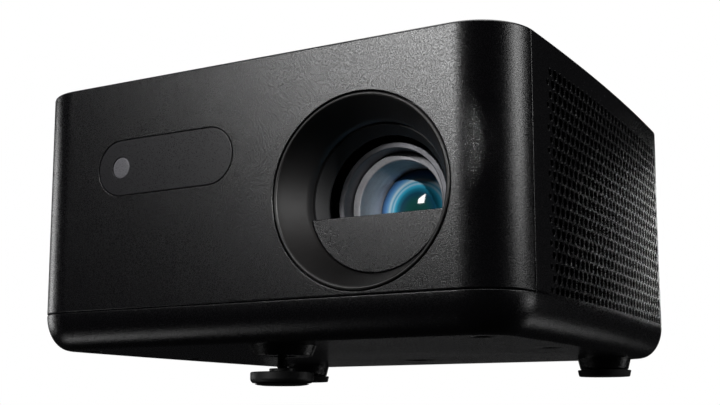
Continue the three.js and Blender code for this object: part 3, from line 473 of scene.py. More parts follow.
def side_reach(y):
    """How far the outer face of a side stands from the middle, at y."""
    straight = HALF_DEPTH - CORNER
    flat = HALF_WIDTH - CROWN
    if abs(y) > straight:
        return flat - CORNER + math.sqrt(CORNER ** 2 - (abs(y) - straight) ** 2)
    bow = (straight ** 2 + CROWN ** 2) / (2 * CROWN)
    return flat + CROWN - bow + math.sqrt(bow ** 2 - y * y)


def spread(start, end, steps):
    return [start + (end - start) * i / steps for i in range(1, steps + 1)]


def grille_lines():
    """The panel's upright and level grid lines, each with its sink below the face."""
    field_start = FIRST_HOLE - HOLE_PITCH / 2
    field_steps = 4 * HOLES_IN_ROW
    field_end = field_start + field_steps * GRID
    edge = [(GRILLE_END - run, sink) for run, sink in rounded(SEAM_ROUND)]
    upright = [(-y, sink) for y, sink in edge]
    upright += [(y, 0) for y in spread(SEAM_ROUND - GRILLE_END, field_start, 6)]
    upright += [(y, 0) for y in spread(field_start, field_end, field_steps)]
    upright += [(y, 0) for y in spread(field_end, GRILLE_END - SEAM_ROUND, 2)[:-1]]
    upright += edge[::-1]
    low = TOP_ROW - (ROWS - 0.5) * ROW_PITCH
    level = [(COVER_FOOT + run, sink) for run, sink in rounded(FOOT_ROUND)]
    level += [(z, 0) for z in spread(COVER_FOOT + FOOT_ROUND, low, 2)]
    level += [(z, 0) for z in spread(low, low + ROWS * ROW_PITCH, 2 * ROWS)]
    level += [(z, 0) for z in spread(low + ROWS * ROW_PITCH, BODY_TOP - TOP_ROUND, 3)[:-1]]
    level += [(BODY_TOP - run, sink) for run, sink in rounded(TOP_ROUND)][::-1]
    return upright, level


def grille_holes(upright, level):
    """Each hole as (first upright, first level, y, z, radius)."""
    ys = [y for y, _ in upright]
    zs = [z for z, _ in level]
    holes = []
    for row in range(ROWS):
        z = TOP_ROW - row * ROW_PITCH
        stagger = 1 - row % 2
        for n in range(HOLES_IN_ROW - stagger):
            y = FIRST_HOLE + (n + stagger / 2) * HOLE_PITCH
            fade = FADE_IN[min(2 * n + stagger, len(FADE_IN) - 1)]
            left = min(range(len(ys)), key=lambda i: abs(ys[i] - (y - HOLE_PITCH / 2)))
            low = min(range(len(zs)), key=lambda i: abs(zs[i] - (z - ROW_PITCH / 2)))
            holes.append((left, low, y, z, HOLE_RADIUS * fade))
    return holes


def grille(name, side):
    """One panel. Each hole fills a patch of the grid, and plain quads fill the rest."""
    upright, level = grille_lines()
    points, faces, index, covered = [], [], {}, set()

    def add(y, z, sink):
        points.append((side * (side_reach(y) - sink), y, z))
        return len(points) - 1

    def grid(i, k, back):
        if (i, k, back) not in index:
            (y, sink_y), (z, sink_z) = upright[i], level[k]
            index[i, k, back] = add(y, z, WALL if back else min(sink_y + sink_z, DEEPEST_SINK))
        return index[i, k, back]

    for left, low, y, z, radius in grille_holes(upright, level):
        loops = []
        for grow, sink in ((HOLE_EDGE, 0), (0, HOLE_EDGE), (0, WALL)):
            loops.append([add(y + (radius + grow) * math.cos(t), z + (radius + grow) * math.sin(t), sink)
                          for t in full_turn(HOLE_STEPS)])
        for i, (a, b) in enumerate(PATCH_EDGE):
            c, d = PATCH_EDGE[(i + 1) % len(PATCH_EDGE)]
            front = [grid(left + a, low + b, False), grid(left + c, low + d, False)]
            rear = [grid(left + a, low + b, True), grid(left + c, low + d, True)]
            run = [(2 * i + k) % HOLE_STEPS for k in (2, 1, 0)]
            faces.append(front + [loops[0][k] for k in run])
            faces.append(rear + [loops[2][k] for k in run])
        for near, far in ((0, 1), (1, 2)):
            for i in range(HOLE_STEPS):
                k = (i + 1) % HOLE_STEPS
                faces.append([loops[near][i], loops[near][k], loops[far][k], loops[far][i]])
        covered |= {(left + a, low + b) for a in range(4) for b in range(2)}

    across, tall = len(upright) - 1, len(level) - 1
    for back in (False, True):
        for i in range(across):
            for k in range(tall):
                if (i, k) not in covered:
                    faces.append([grid(i, k, back), grid(i + 1, k, back),
                                  grid(i + 1, k + 1, back), grid(i, k + 1, back)])
    border = [(i, 0) for i in range(across)] + [(across, k) for k in range(tall)]
    border += [(i, tall) for i in range(across, 0, -1)] + [(0, k) for k in range(tall, 0, -1)]
    for here, there in zip(border, border[1:] + border[:1]):
        faces.append([grid(*here, False), grid(*there, False), grid(*there, True), grid(*here, True)])
    return make_shape(name, points, faces)


fit(grille("grille_right", 1), spark_abs, ["side_grille_right"])
fit(grille("grille_left", -1), spark_abs, ["side_grille_left"])


# ---- Rear cover ----
# The same wrap-round moulding as the front cover, with one long slot for the socket panel.
(PANEL_LEFT, PANEL_RIGHT), (_, PANEL_FACE), (PANEL_LOW, PANEL_HIGH) = size_of("io_panel")


def slab_tool(x0, x1, y0, y1, z0, z1, corner=1.0):
    """A block along Y whose section in X and Z has round corners."""
    ring = []
    centres = [(x1 - corner, z0 + corner, -90), (x1 - corner, z1 - corner, 0),
               (x0 + corner, z1 - corner, 90), (x0 + corner, z0 + corner, 180)]
    for cx, cz, start in centres:
        for i in range(7):
            turn = math.radians(start + 15 * i)
            ring.append((cx + corner * math.cos(turn), cz + corner * math.sin(turn)))
    return [[(x, y, z) for x, z in ring] for y in (y0, y1)]


rear_cover = cover_wall("rear_cover_wall", -1)
carve(rear_cover, skin("hole", slab_tool(
    PANEL_LEFT - FIT_GAP, PANEL_RIGHT + FIT_GAP, HALF_DEPTH - CUT_DEPTH, HALF_DEPTH + CUT_DEPTH / 2,
    PANEL_LOW - FIT_GAP, PANEL_HIGH + FIT_GAP)))
fit(rear_cover, spark_abs, ["rear_cover"])


# ---- Top cover ----
# Flat lid in the same ABS, dropped into the four walls and 0.6 mm below their rim.
LID_EDGE = 0.6
(LID_LOW, LID_HIGH) = size_of("top_cover")[2]
lid_rings = [at_height(body_plan(WALL + FIT_GAP), LID_LOW)]
for turn in quarter(5):
    lid_rings.append(at_height(
        body_plan(WALL + FIT_GAP + LID_EDGE * (1 - math.cos(turn))),
        LID_HIGH - LID_EDGE * (1 - math.sin(turn))))
fit(skin("top_lid", lid_rings), spark_abs, ["top_cover"])


# ---- Lens funnel, shade and baffle ----
# The funnel is a ring of satin black ABS with a bright rounded lip. The half-moon shade plate
# and the baffle ring behind it keep stray light out of the lens.
THROAT = 27.5
THROAT_DEPTH = 13.5
LIP = 0.8
SHADE_DROP = 6.4
SHADE_THICK = 2
SHADE_ROUND = 0.35
SHADE_STEPS = 48
CHORD_STEPS = 12
BAFFLE_BORE = 24.2
BAFFLE_DEPTH = 22.5

# Satin ABS with the shell's grain: a warm grey sheen that follows the light round the ring.
funnel_abs = moulded_material("funnel_abs", "#0e0d0e", "#181615", 0.42)
outer = RECESS_RADIUS - FIT_GAP
lip = [(outer - LIP - LIP * math.cos(t), LIP - LIP * math.sin(t))
       for t in [math.pi * i / 10 for i in range(11)]]
wall_run = [(outer - 2 * LIP + (THROAT - outer + 2 * LIP) * i / 8, LIP + (THROAT_DEPTH - LIP) * i / 8)
            for i in range(8, 0, -1)]
funnel_profile = wall_run + lip + [
    (outer, WALL + FIT_GAP), (outer + WALL, WALL + FIT_GAP), (outer + WALL, 2 * WALL + FIT_GAP),
    (outer - WALL / 2, 2 * WALL + FIT_GAP), (THROAT + WALL, THROAT_DEPTH + SHADE_THICK + FIT_GAP),
    (THROAT, THROAT_DEPTH + SHADE_THICK + FIT_GAP)]
fit(turned("funnel_ring", funnel_profile, LENS_PLACE, LENS_STEPS), funnel_abs, ["lens_funnel"])


def half_moon(inset, depth):
    """The shade plate's outline: a circle cut straight below the lens axis."""
    radius = THROAT - FIT_GAP - inset
    drop = SHADE_DROP + inset
    half = math.acos(drop / radius)
    points = []
    for i in range(SHADE_STEPS + 1):
        turn = -math.pi / 2 - half + 2 * half * i / SHADE_STEPS
        points.append((LENS_X + radius * math.cos(turn), LENS_Y + THROAT_DEPTH + depth,
                       LENS_Z + radius * math.sin(turn)))
    start, end = points[-1], points[0]
    for i in range(1, CHORD_STEPS):
        share = i / CHORD_STEPS
        points.append(tuple(start[k] + (end[k] - start[k]) * share for k in range(3)))
    return points


shade_rings = [half_moon(SHADE_ROUND * (1 - math.sin(t)), SHADE_ROUND * (1 - math.cos(t)))
               for t in quarter(4)]
shade_rings.append(half_moon(0, SHADE_THICK))
fit(skin("half_moon_shade", shade_rings), spark_abs, ["lens_shade_plate"])

# Matt black polycarbonate, moulded: nearly no light comes back from it.
matt_pc = moulded_material("matt_polycarbonate", "#08080a", "#0f0f11", 0.62, 0.02, 0.5)
# The same plastic with a satin skin: a soft sheen at the edges, paler than the matt one.
satin_pc = moulded_material("satin_polycarbonate", "#0c0c0d", "#161617", 0.38, 0.02, 0.5)
near = THROAT_DEPTH + SHADE_THICK + 2 * FIT_GAP
baffle_profile = [
    (BAFFLE_BORE + WALL, near), (THROAT + WALL, near), (THROAT + WALL, BAFFLE_DEPTH),
    (BAFFLE_BORE, BAFFLE_DEPTH), (BAFFLE_BORE - 0.15, BAFFLE_DEPTH - 0.3),
    (BAFFLE_BORE - 0.05, BAFFLE_DEPTH - WALL / 2)]
fit(turned("baffle", baffle_profile, LENS_PLACE, LENS_STEPS), matt_pc, ["lens_baffle_ring"])


# ---- Focus ring, barrel and glass ----
# The toothed focus ring turns round an aluminium barrel and drives it in and out on a coarse
# thread. The barrel's front is turned in fine steps that kill reflections ahead of the glass.
FOCUS_FRONT = 26
FOCUS_BORE = 20.2
FOCUS_RADIUS = 22.4
BARREL_FRONT = 32.4
BARREL_BACK = 72.4
BARREL_BORE = 17
GLASS_DEPTH = 49.7
GEAR_NEAR = 51
GEAR_FAR = 56
RING_TEETH = 48
TOOTH_STEPS = 10
TIP_SHARE = 0.12
FLANK_SHARE = 0.16
GEAR_MODULE = 1.2
PINION_ANGLE = 145
RING_BEVEL = 0.3
TOOTH_BEVEL = 0.2
PATCH_SIZE = 9


def gear_radius(turn):
    """Radius of the straight-flanked gear outline, at an angle from the middle of a tooth."""
    pitch = RING_TEETH * GEAR_MODULE / 2
    root, tip = pitch - 1.1 * GEAR_MODULE, pitch + 0.8 * GEAR_MODULE
    share = abs((turn * RING_TEETH / (2 * math.pi) + 0.5) % 1 - 0.5)
    if share < TIP_SHARE:
        return tip
    if share > TIP_SHARE + FLANK_SHARE:
        return root
    return tip + (root - tip) * (share - TIP_SHARE) / FLANK_SHARE


def gear_ring(depth, shrink):
    points = []
    for turn in full_turn(RING_TEETH * TOOTH_STEPS):
        radius = gear_radius(turn - math.radians(PINION_ANGLE)) - shrink
        points.append((LENS_X + radius * math.cos(turn), LENS_Y + depth, LENS_Z + radius * math.sin(turn)))
    return points


focus_profile = [
    (FOCUS_BORE, GEAR_FAR), (FOCUS_BORE, FOCUS_FRONT + RING_BEVEL), (FOCUS_BORE + RING_BEVEL, FOCUS_FRONT),
    (FOCUS_RADIUS - RING_BEVEL, FOCUS_FRONT), (FOCUS_RADIUS, FOCUS_FRONT + RING_BEVEL),
    (FOCUS_RADIUS, GEAR_NEAR)]
focus_rings = [upright_ring(r, d, LENS_PLACE, RING_TEETH * TOOTH_STEPS) for r, d in focus_profile]
for depth, shrink in ((GEAR_NEAR, TOOTH_BEVEL), (GEAR_NEAR + TOOTH_BEVEL, 0),
                      (GEAR_FAR - TOOTH_BEVEL, 0), (GEAR_FAR, TOOTH_BEVEL)):
    focus_rings.append(gear_ring(depth, shrink))


def metal_material(name, dark, light, rough, grit, depth=0.008):
    """Plain metal with a fine grit and slow patches of duller tone."""
    material, tree, place = start_material(name)
    fine = add_node(tree, "TexNoise", {"Vector": place, "Scale": 1 / (grit * MM), "Detail": 3})
    patch = add_node(tree, "TexNoise", {"Vector": place, "Scale": 1 / (PATCH_SIZE * MM), "Detail": 2})
    tone = add_node(tree, "ValToRGB", {"Fac": patch}, [(0.3, dark), (0.7, light)])
    gloss = add_node(tree, "ValToRGB", {"Fac": fine}, [(0.3, rough - 0.06), (0.7, rough + 0.08)])
    bump = add_node(tree, "Bump", {"Height": fine, "Strength": 0.4, "Distance": depth * MM})
    shader = add_node(tree, "BsdfPrincipled", {
        "Base Color": tone, "Roughness": gloss, "Metallic": 1, "Normal": bump})
    add_node(tree, "OutputMaterial", {"Surface": shader})
    return material


# Anodised aluminium, turned: a grey that stays dark but catches the light on every edge.
grey_anodised = metal_material("grey_anodised_aluminium", "#58585b", "#6a6a6e", 0.5, 0.7)
# Bead-blasted aluminium: pale grey, soft, without streaks.
blasted_aluminium = metal_material("blasted_aluminium", "#a3a3a6", "#bcbcc0", 0.7, 0.7)
fit(skin("focus_ring_toothed", focus_rings, "joined"), grey_anodised, ["focus_ring"],
    body="focus_ring")

# Sizes of the barrel: its outer radius, the bore behind the glass, and the glare steps in front.
BARREL_RADIUS = 19.9
REAR_BORE = 14.5
GLASS_SEAT = 52.4
STEP_COUNT = 5
STEP_SINK = 0.14
tread = (GLASS_DEPTH - BARREL_FRONT) / STEP_COUNT
barrel_profile = [
    (BARREL_RADIUS, BARREL_FRONT + RING_BEVEL), (BARREL_RADIUS, BARREL_BACK), (REAR_BORE, BARREL_BACK),
    (REAR_BORE, GLASS_SEAT), (BARREL_BORE + STEP_SINK, GLASS_SEAT)]
for step in range(STEP_COUNT, 0, -1):
    near = BARREL_FRONT + (step - 1) * tread
    barrel_profile += [(BARREL_BORE + STEP_SINK, near + tread * 0.75), (BARREL_BORE, near + tread * 0.45),
                       (BARREL_BORE, near + RING_BEVEL)]
    if step > 1:
        barrel_profile.append((BARREL_BORE + STEP_SINK, near + 0.05))
barrel_profile += [(BARREL_BORE + RING_BEVEL, BARREL_FRONT), (BARREL_RADIUS - RING_BEVEL, BARREL_FRONT)]
fit(turned("barrel", barrel_profile, LENS_PLACE, LENS_STEPS), blasted_aluminium, ["lens_barrel"],
    body="lens_group")


def glass_with_painted_reflections(name, tint_and_reflection_bands):
    """Polished glass with a dark body. Its colour is painted in rings round the axis: the coating's tint,
    pale rings of painted reflection from the glasses and rims inside, and a dark middle of painted shade.
    """
    material, tree, place = start_material(name)
    axis = (LENS_X * MM, 0, LENS_Z * MM)
    from_axis = add_node(tree, "VectorMath", {0: place, 1: axis}, operation="SUBTRACT")
    spoke = add_node(tree, "VectorMath", {0: from_axis, 1: (1, 0, 1)}, operation="MULTIPLY")
    reach = add_node(tree, "VectorMath", {0: spoke}, operation="LENGTH").outputs["Value"]
    share = add_node(tree, "Math", {0: reach, 1: 1 / (BARREL_BORE * MM)}, operation="MULTIPLY")
    # Painted reflection and shade: the ramp's pale bands stand in for light reflected inside the lens and its
    # dark middle for the shade there; the blue and teal are the coating's tint.
    tint = add_node(tree, "ValToRGB", {"Fac": share}, tint_and_reflection_bands)
    shader = add_node(tree, "BsdfPrincipled", {
        "Base Color": tint, "Roughness": 0.05, "IOR": 1.6, "Specular IOR Level": 0.2})
    add_node(tree, "OutputMaterial", {"Surface": shader})
    return material


# Optical glass, ground and coated: dark in the middle, blue and teal towards the rim. The pale grey-blue
# bands are painted reflections of the inner glasses and rims, and the dark middle is painted shade of the
# lens's inside.
lens_tint_and_painted_reflections = glass_with_painted_reflections("coated_glass_with_painted_reflections", [
    (0.0, "#0c2a26"), (0.26, "#0d3230"), (0.42, "#0b2c3c"), (0.52, "#125468"), (0.6, "#2b86a2"),
    (0.64, "#7d9fb0"), (0.68, "#357b96"), (0.74, "#98a9b1"), (0.79, "#5a83a0"), (0.86, "#3b6692"),
    (0.94, "#2a486c"), (1.0, "#1a2630")])


GLASS_EDGE = 2.4
FRONT_CROWN = 3.2
INNER_RADIUS = 14.2
INNER_CROWN = 1.5
INNER_GLASSES = {"middle": GLASS_DEPTH + 7.2, "rear": GLASS_DEPTH + 16.8}


def dome(name, radius, near, front_crown, back_crown):
    """A glass with a flat ground edge and two domed faces. The crowns are the domes' heights."""
    shares = [i / 16 for i in range(17)]
    front = [(max(radius * s, AXIS_RADIUS), near - front_crown * (1 - s * s)) for s in shares]
    back = [(max(radius * s, AXIS_RADIUS), near + GLASS_EDGE + back_crown * (1 - s * s))
            for s in shares[::-1]]
    return turned(name, front + back, LENS_PLACE, 96, "capped")


fit(dome("front_glass", BARREL_BORE, GLASS_DEPTH, FRONT_CROWN, 0), lens_tint_and_painted_reflections,
    ["front_lens"], body="lens_group")
for name, near in INNER_GLASSES.items():
    fit(dome(name + "_glass", INNER_RADIUS, near, INNER_CROWN, INNER_CROWN), lens_tint_and_painted_reflections,
        [name + "_lens"], body="lens_group")


# ---- Sensor window and camera ----
# Flush plate of smoked polycarbonate that hides the distance sensor, with a pale eye for the
# camera. Its skin has less grain than the body round it and is a little greyer.
EYE_PLACE = (-57.3, -HALF_DEPTH, 85)
EYE_RADIUS = 4.2
WINDOW_ROUND = 0.3

# Smoked polycarbonate, moulded: a deep violet grey with an even gloss.
smoked_pc = moulded_material("smoked_polycarbonate", "#141317", "#1b1a1f", 0.32, 0.012)
window_rings = []
for turn in quarter(4):
    trim = WINDOW_ROUND * 2 * (1 - math.sin(turn))
    window_rings.append(stadium(WINDOW_SIZE[0] - trim, WINDOW_SIZE[1] - trim, WINDOW_PLACE,
                                WINDOW_ROUND * (1 - math.cos(turn))))
window_rings.append(stadium(*WINDOW_SIZE, WINDOW_PLACE, WALL - FIT_GAP))
window = carve(skin("window_plate", window_rings),
               turned("hole", flare(EYE_RADIUS + 0.15, 0.15, 5), EYE_PLACE, 64, "capped"))
fit(window, smoked_pc, ["sensor_window"])

# Frosted polycarbonate over the camera: an even, pale grey spot in the dark window.
eye_pc = moulded_material("eye_polycarbonate", "#6a696e", "#858489", 0.3, 0.004)
eye_profile = [(AXIS_RADIUS, 0.02), (1.2, 0.0), (3.4, 0.0), (4.0, 0.08), (EYE_RADIUS, 0.3),
               (EYE_RADIUS, 2.2), (AXIS_RADIUS, 2.2)]
fit(turned("camera_eye_disc", eye_profile, EYE_PLACE, 64, "capped"), eye_pc, ["camera_eye"])


# ---- Feet ----
# The front foot is a glass-filled nylon thumb disc on an M4 thread in a brass insert, with a
# rubber sole that doesn't turn. Two rubber pads stand under the rear corners.
SCREW_STEPS = 48


def threaded_ring(place, radius, z, pitch, depth, hole=False):
    """One level ring through a screw's thread, or through the thread of a hole."""
    points = []
    for i, turn in enumerate(full_turn(SCREW_STEPS)):
        share = abs(2 * ((z / pitch - i / SCREW_STEPS) % 1) - 1)
        reach = radius - depth * (1 - share if hole else share)
        points.append((place[0] + reach * math.cos(turn), place[1] + reach * math.sin(turn), z))
    return points


THREAD_PITCH = 0.7
THREAD_DEPTH = 0.35
STEM_RADIUS = 2.0
STEM_ROOT = 6.5
STEM_TIP = 20.9
TURN_RINGS = 6
DISC_RADIUS = 12.1
DISC_LOW = 1.0
ROUND_ACROSS = 4.8
ROUND_UP = 2.5
ROUND_STEPS = 8
disc_profile = [(10.2, DISC_LOW)]
for step in range(ROUND_STEPS + 1):
    turn = math.asin(1 - DISC_LOW / ROUND_UP) * (1 - step / ROUND_STEPS)
    disc_profile.append((DISC_RADIUS - ROUND_ACROSS * (1 - math.cos(turn)), ROUND_UP * (1 - math.sin(turn))))
disc_profile += [(DISC_RADIUS, 4.8), (11.8, 5.1), (5.4, 5.1), (4.9, 5.3), (4.9, 6.3), (4.7, STEM_ROOT),
                 (STEM_RADIUS, STEM_ROOT)]
foot_rings = [circle(r, z, FRONT_FOOT, SCREW_STEPS) for r, z in disc_profile]
level = STEM_ROOT
while level < STEM_TIP:
    level += THREAD_PITCH / TURN_RINGS
    foot_rings.append(threaded_ring(FRONT_FOOT, STEM_RADIUS, level, THREAD_PITCH, THREAD_DEPTH))
foot_rings.append(circle(1.4, level + 0.1, FRONT_FOOT, SCREW_STEPS))
# Glass-filled nylon, moulded: deep black, a little rough.
nylon = moulded_material("glass_filled_nylon", "#09090a", "#131314", 0.5, 0.03, 0.7)
fit(skin("foot_thumb_screw", foot_rings), nylon, ["front_foot_screw"], body="foot_screw")

# Rubber, moulded: matt black with a dusty bloom.
rubber = moulded_material("moulded_rubber", "#0b0b0b", "#151515", 0.85, 0.05, 0.9)
sole_profile = [(7.0, 0.2), (7.2, 0.0), (7.5, 0.0), (9.4, 0.25), (10.4, 0.6), (10.3, 0.7)]
fit(post("foot_sole_rubber", FRONT_FOOT, sole_profile), rubber, ["front_foot_sole"],
    body="foot_sole")
for number, place in enumerate(REAR_FEET, 1):
    pad_profile = [(8.5, 7.0), (8.8, 6.8), (11.2, 6.8), (11.5, 7.1), (12.0, 9.4), (11.8, 9.7)]
    fit(post(f"rear_pad_{number}", place, pad_profile), rubber, [f"rear_foot_pad_{number}"])


# ---- Fasteners under the tray ----
# Four pan-head case screws of nickel-plated steel with hexagon sockets, sunk in the tray, and
# the tripod bush: a blackened brass insert with a camera thread cut through it.
HEX_PROFILE = [(1.3, 17.9), (1.3, 17.0), (1.45, 16.8)]
HEAD_PROFILE = [(2.1, 16.75), (2.6, 16.95), (2.9, 17.4), (3.0, 17.9), (3.0, 18.5), (2.8, 18.7)]
SHANK_PROFILE = [(1.5, 18.7), (1.5, 25.3), (1.1, 25.7)]


def hexagon(radius, z, place):
    points = []
    for turn in full_turn(SCREW_STEPS):
        reach = radius * math.cos(math.pi / 6) / math.cos((turn % (math.pi / 3)) - math.pi / 6)
        points.append((place[0] + reach * math.cos(turn), place[1] + reach * math.sin(turn), z))
    return points


def screw_rings(place):
    """Rings from the socket's floor out over the domed head and up the shank."""
    rings = [hexagon(r, z, place) for r, z in HEX_PROFILE]
    return rings + [circle(r, z, place, SCREW_STEPS) for r, z in HEAD_PROFILE + SHANK_PROFILE]


# Nickel-plated steel: bright, faintly warm, with a soft gloss.
nickel_steel = metal_material("nickel_plated_steel", "#8c8a86", "#a5a39e", 0.3, 0.5)
# Blackened brass: a dark bronze brown that only shows its metal at the edges.
black_brass = metal_material("blackened_brass", "#17140f", "#2a241a", 0.4, 0.4)
for number, place in enumerate(SCREW_PLACES, 1):
    fit(skin(f"case_screw_head_{number}", screw_rings(place)), nickel_steel,
        [f"case_screw_{number}"])

BUSH_BORE = 3.2
BUSH_PITCH = 1.27
BUSH_DEPTH = 0.45
BUSH_PROFILE = [(3.0, 23.7), (3.3, 24.0), (6.7, 24.0), (7.0, 23.7), (7.0, 15.3), (6.8, 15.0), (3.6, 15.0),
                (BUSH_BORE, 15.35)]
bush_rings = [circle(r, z, TRIPOD_PLACE, SCREW_STEPS) for r, z in BUSH_PROFILE]
bush_rings += [threaded_ring(TRIPOD_PLACE, BUSH_BORE, 15.5 + 0.2 * i, BUSH_PITCH, BUSH_DEPTH, hole=True)
               for i in range(41)]
fit(skin("tripod_bush", bush_rings, "joined"), black_brass, ["tripod_insert"])


# ---- Socket panel at the rear ----
# Satin polycarbonate plate let into the rear cover, with openings for four connectors that
# stand on the main board, and a round push button for power.
PANEL_BACK = size_of("io_panel")[1][0]
SOCKET_DEPTH = 9.5
SHELL_BEVEL = 0.2
SHELL_CORNER = 0.5
BUTTON_PLACE = (54, 0, 40)
BUTTON_RADIUS = 4.5
FLANGE = 1.2


def plate_rings(x0, x1, y0, y1, z0, z1, corner, edge):
    """A plate along Y whose outer face has a small bevel."""
    back = slab_tool(x0, x1, y0, y1, z0, z1, corner)[0]
    shoulder = slab_tool(x0, x1, y1 - edge, y1, z0, z1, corner)[0]
    face = slab_tool(x0 + edge, x1 - edge, y0, y1, z0 + edge, z1 - edge, corner - edge / 2)[1]
    return [back, shoulder, face]


panel = skin("socket_panel", plate_rings(PANEL_LEFT, PANEL_RIGHT, PANEL_BACK, PANEL_FACE,
                                         PANEL_LOW, PANEL_HIGH, 1.0, 0.25))
ports = {name: size_of(name) for name in ("audio_jack", "usb_port", "hdmi_port", "power_inlet")}
openings = []
for (x0, x1), _, (z0, z1) in ports.values():
    openings.append(skin("opening", slab_tool(
        x0 - FIT_GAP, x1 + FIT_GAP, PANEL_BACK - TOOL_CLEAR, PANEL_FACE + TOOL_CLEAR,
        z0 - FIT_GAP, z1 + FIT_GAP, 0.6)))
button_hole = BUTTON_RADIUS + FIT_GAP
hole_profile = [(button_hole, PANEL_BACK - TOOL_CLEAR), (button_hole, PANEL_FACE - SHELL_BEVEL),
                (button_hole + SHELL_BEVEL, PANEL_FACE), (button_hole + SHELL_BEVEL, PANEL_FACE + TOOL_CLEAR)]
openings.append(turned("opening", hole_profile, BUTTON_PLACE, 64, "capped"))
fit(carve(panel, *openings), satin_pc, ["io_panel"])


def connector(name, mouth, mouth_corner):
    """A connector's shell with its mouth cut into the rear face, and the middle of that face."""
    (x0, x1), (y0, y1), (z0, z1) = ports[name]
    shell = skin(name + "_shell", plate_rings(x0, x1, y0, y1, z0, z1, SHELL_CORNER, SHELL_BEVEL))
    x, z = (x0 + x1) / 2, (z0 + z1) / 2
    hollow = skin("mouth", slab_tool(x - mouth[0] / 2, x + mouth[0] / 2, y1 - SOCKET_DEPTH, y1 + TOOL_CLEAR,
                                     z - mouth[1] / 2, z + mouth[1] / 2, mouth_corner))
    return carve(shell, hollow), x, z, y1


def tongue(name, x, y, z, width, tall, length):
    """The contact tongue that stands in a connector's mouth."""
    return skin(name, plate_rings(x - width / 2, x + width / 2, y - SOCKET_DEPTH, y - SOCKET_DEPTH + length,
                                  z - tall / 2, z + tall / 2, 0.2, 0.15))


shell, x, z, y = connector("usb_port", (12.2, 4.8), 0.4)
fit(shell, nickel_steel, ["usb_port"])
fit(tongue("usb_tongue", x, y, z + 1.2, 11.2, 1.6, 8.4), matt_pc)
shell, x, z, y = connector("hdmi_port", (14, 4.5), 1.1)
fit(shell, nickel_steel, ["hdmi_port"])
fit(tongue("hdmi_tongue", x, y, z, 11.4, 1.1, 7.6), matt_pc)
for name, hole_radius in (("audio_jack", 1.8), ("power_inlet", 3.2)):
    (x0, x1), (y0, y1), (z0, z1) = ports[name]
    spot = ((x0 + x1) / 2, y1, (z0 + z1) / 2)
    body = skin(name + "_body", plate_rings(x0, x1, y0, y1, z0, z1, 0.6, SHELL_BEVEL))
    bore = turned("bore", [(hole_radius, -SOCKET_DEPTH), (hole_radius, -0.4), (hole_radius + 0.4, 0),
                           (hole_radius + 0.4, 1)], spot, 48, "capped")
    fit(carve(body, bore), satin_pc, [name])
    if name == "power_inlet":
        pin = [(0.9, -SOCKET_DEPTH), (0.9, -1.6), (0.7, -1.2), (AXIS_RADIUS, -1.1)]
        fit(turned("inlet_pin", pin, spot, 32, "capped"), nickel_steel)

# The button has a flange behind the panel that keeps it in, and a shallow dish in its face.
SHOULDER = PANEL_BACK - FIT_GAP
button_profile = [
    (AXIS_RADIUS, SHOULDER - 2), (BUTTON_RADIUS + FLANGE, SHOULDER - 2), (BUTTON_RADIUS + FLANGE, SHOULDER),
    (BUTTON_RADIUS, SHOULDER), (BUTTON_RADIUS, PANEL_FACE + 0.2), (BUTTON_RADIUS - 0.3, PANEL_FACE + 0.5),
    (BUTTON_RADIUS - 0.8, PANEL_FACE + 0.5), (2.0, PANEL_FACE + 0.3), (AXIS_RADIUS, PANEL_FACE + 0.25)]
fit(turned("power_push_button", button_profile, BUTTON_PLACE, 64, "capped"), satin_pc,
    ["power_button"], body="power_button")


# ---- Filters, fans and speakers ----
# Foam sheets lie behind the grilles. The fans are glass-filled mouldings, and each speaker is
# a closed box with a coated paper cone on a rubber edge.
FOAM_CELL = 1.2


def foam_material():
    """Open-cell foam: matt black, with cells about 1.2 mm across."""
    material, tree, place = start_material("filter_foam")
    cells = add_node(tree, "TexVoronoi", {"Vector": place, "Scale": 1 / (FOAM_CELL * MM)})
    tone = add_node(tree, "ValToRGB", {"Fac": cells}, [(0.1, "#020202"), (0.8, "#0b0b0b")])
    bump = add_node(tree, "Bump", {"Height": cells, "Strength": 0.9, "Distance": 0.4 * MM})
    shader = add_node(tree, "BsdfPrincipled", {"Base Color": tone, "Roughness": 0.95, "Normal": bump})
    add_node(tree, "OutputMaterial", {"Surface": shader})
    return material


def paint_nodes(material, *names):
    """Gives carried-over pieces their material."""
    for name in names:
        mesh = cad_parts[name].data
        mesh.materials.clear()
        mesh.materials.append(material)


paint_nodes(foam_material(), "dust_filter_left", "dust_filter_right")
paint_nodes(nylon, "exhaust_fan_frame", "exhaust_fan_impeller", "intake_fan_frame", "intake_fan_impeller")
paint_nodes(matt_pc, "speaker_box_left", "speaker_box_right", "camera_module")
paint_nodes(rubber, "speaker_driver_left", "speaker_driver_right")


# ---- Light engine, cooling and boards ----
# A cast aluminium box holds the prism and the picture chip. Copper pipes carry the heat of the
# three lights to an extruded fin stack. The boards are glass fibre with a green solder mask.
TRACK_PITCH = 1.8
PAD_PITCH = 4


def board_material():
    """Glass-fibre board: green mask over copper tracks, with tinned pads about 4 mm apart."""
    material, tree, place = start_material("green_circuit_board")
    tracks = add_node(tree, "TexBrick", {
        "Vector": place, "Scale": 0.3 / (TRACK_PITCH * MM), "Color1": hex_colour("#123d29"),
        "Color2": hex_colour("#17492f"), "Mortar": hex_colour("#2c6b45"), "Mortar Size": 0.03,
        "Brick Width": 0.9, "Row Height": 0.3})
    pads = add_node(tree, "TexVoronoi", {"Vector": place, "Scale": 1 / (PAD_PITCH * MM)})
    mask = add_node(tree, "ValToRGB", {"Fac": pads}, [(0.12, 1.0), (0.16, 0.0)])
    colour = add_node(tree, "MixRGB", {"Fac": mask, "Color1": tracks, "Color2": hex_colour("#b9a15c")})
    bump = add_node(tree, "Bump", {"Height": tracks.outputs["Fac"], "Strength": 0.3, "Distance": 0.05 * MM})
    shader = add_node(tree, "BsdfPrincipled", {
        "Base Color": colour, "Roughness": 0.35, "IOR": 1.5, "Normal": bump})
    add_node(tree, "OutputMaterial", {"Surface": shader})
    return material


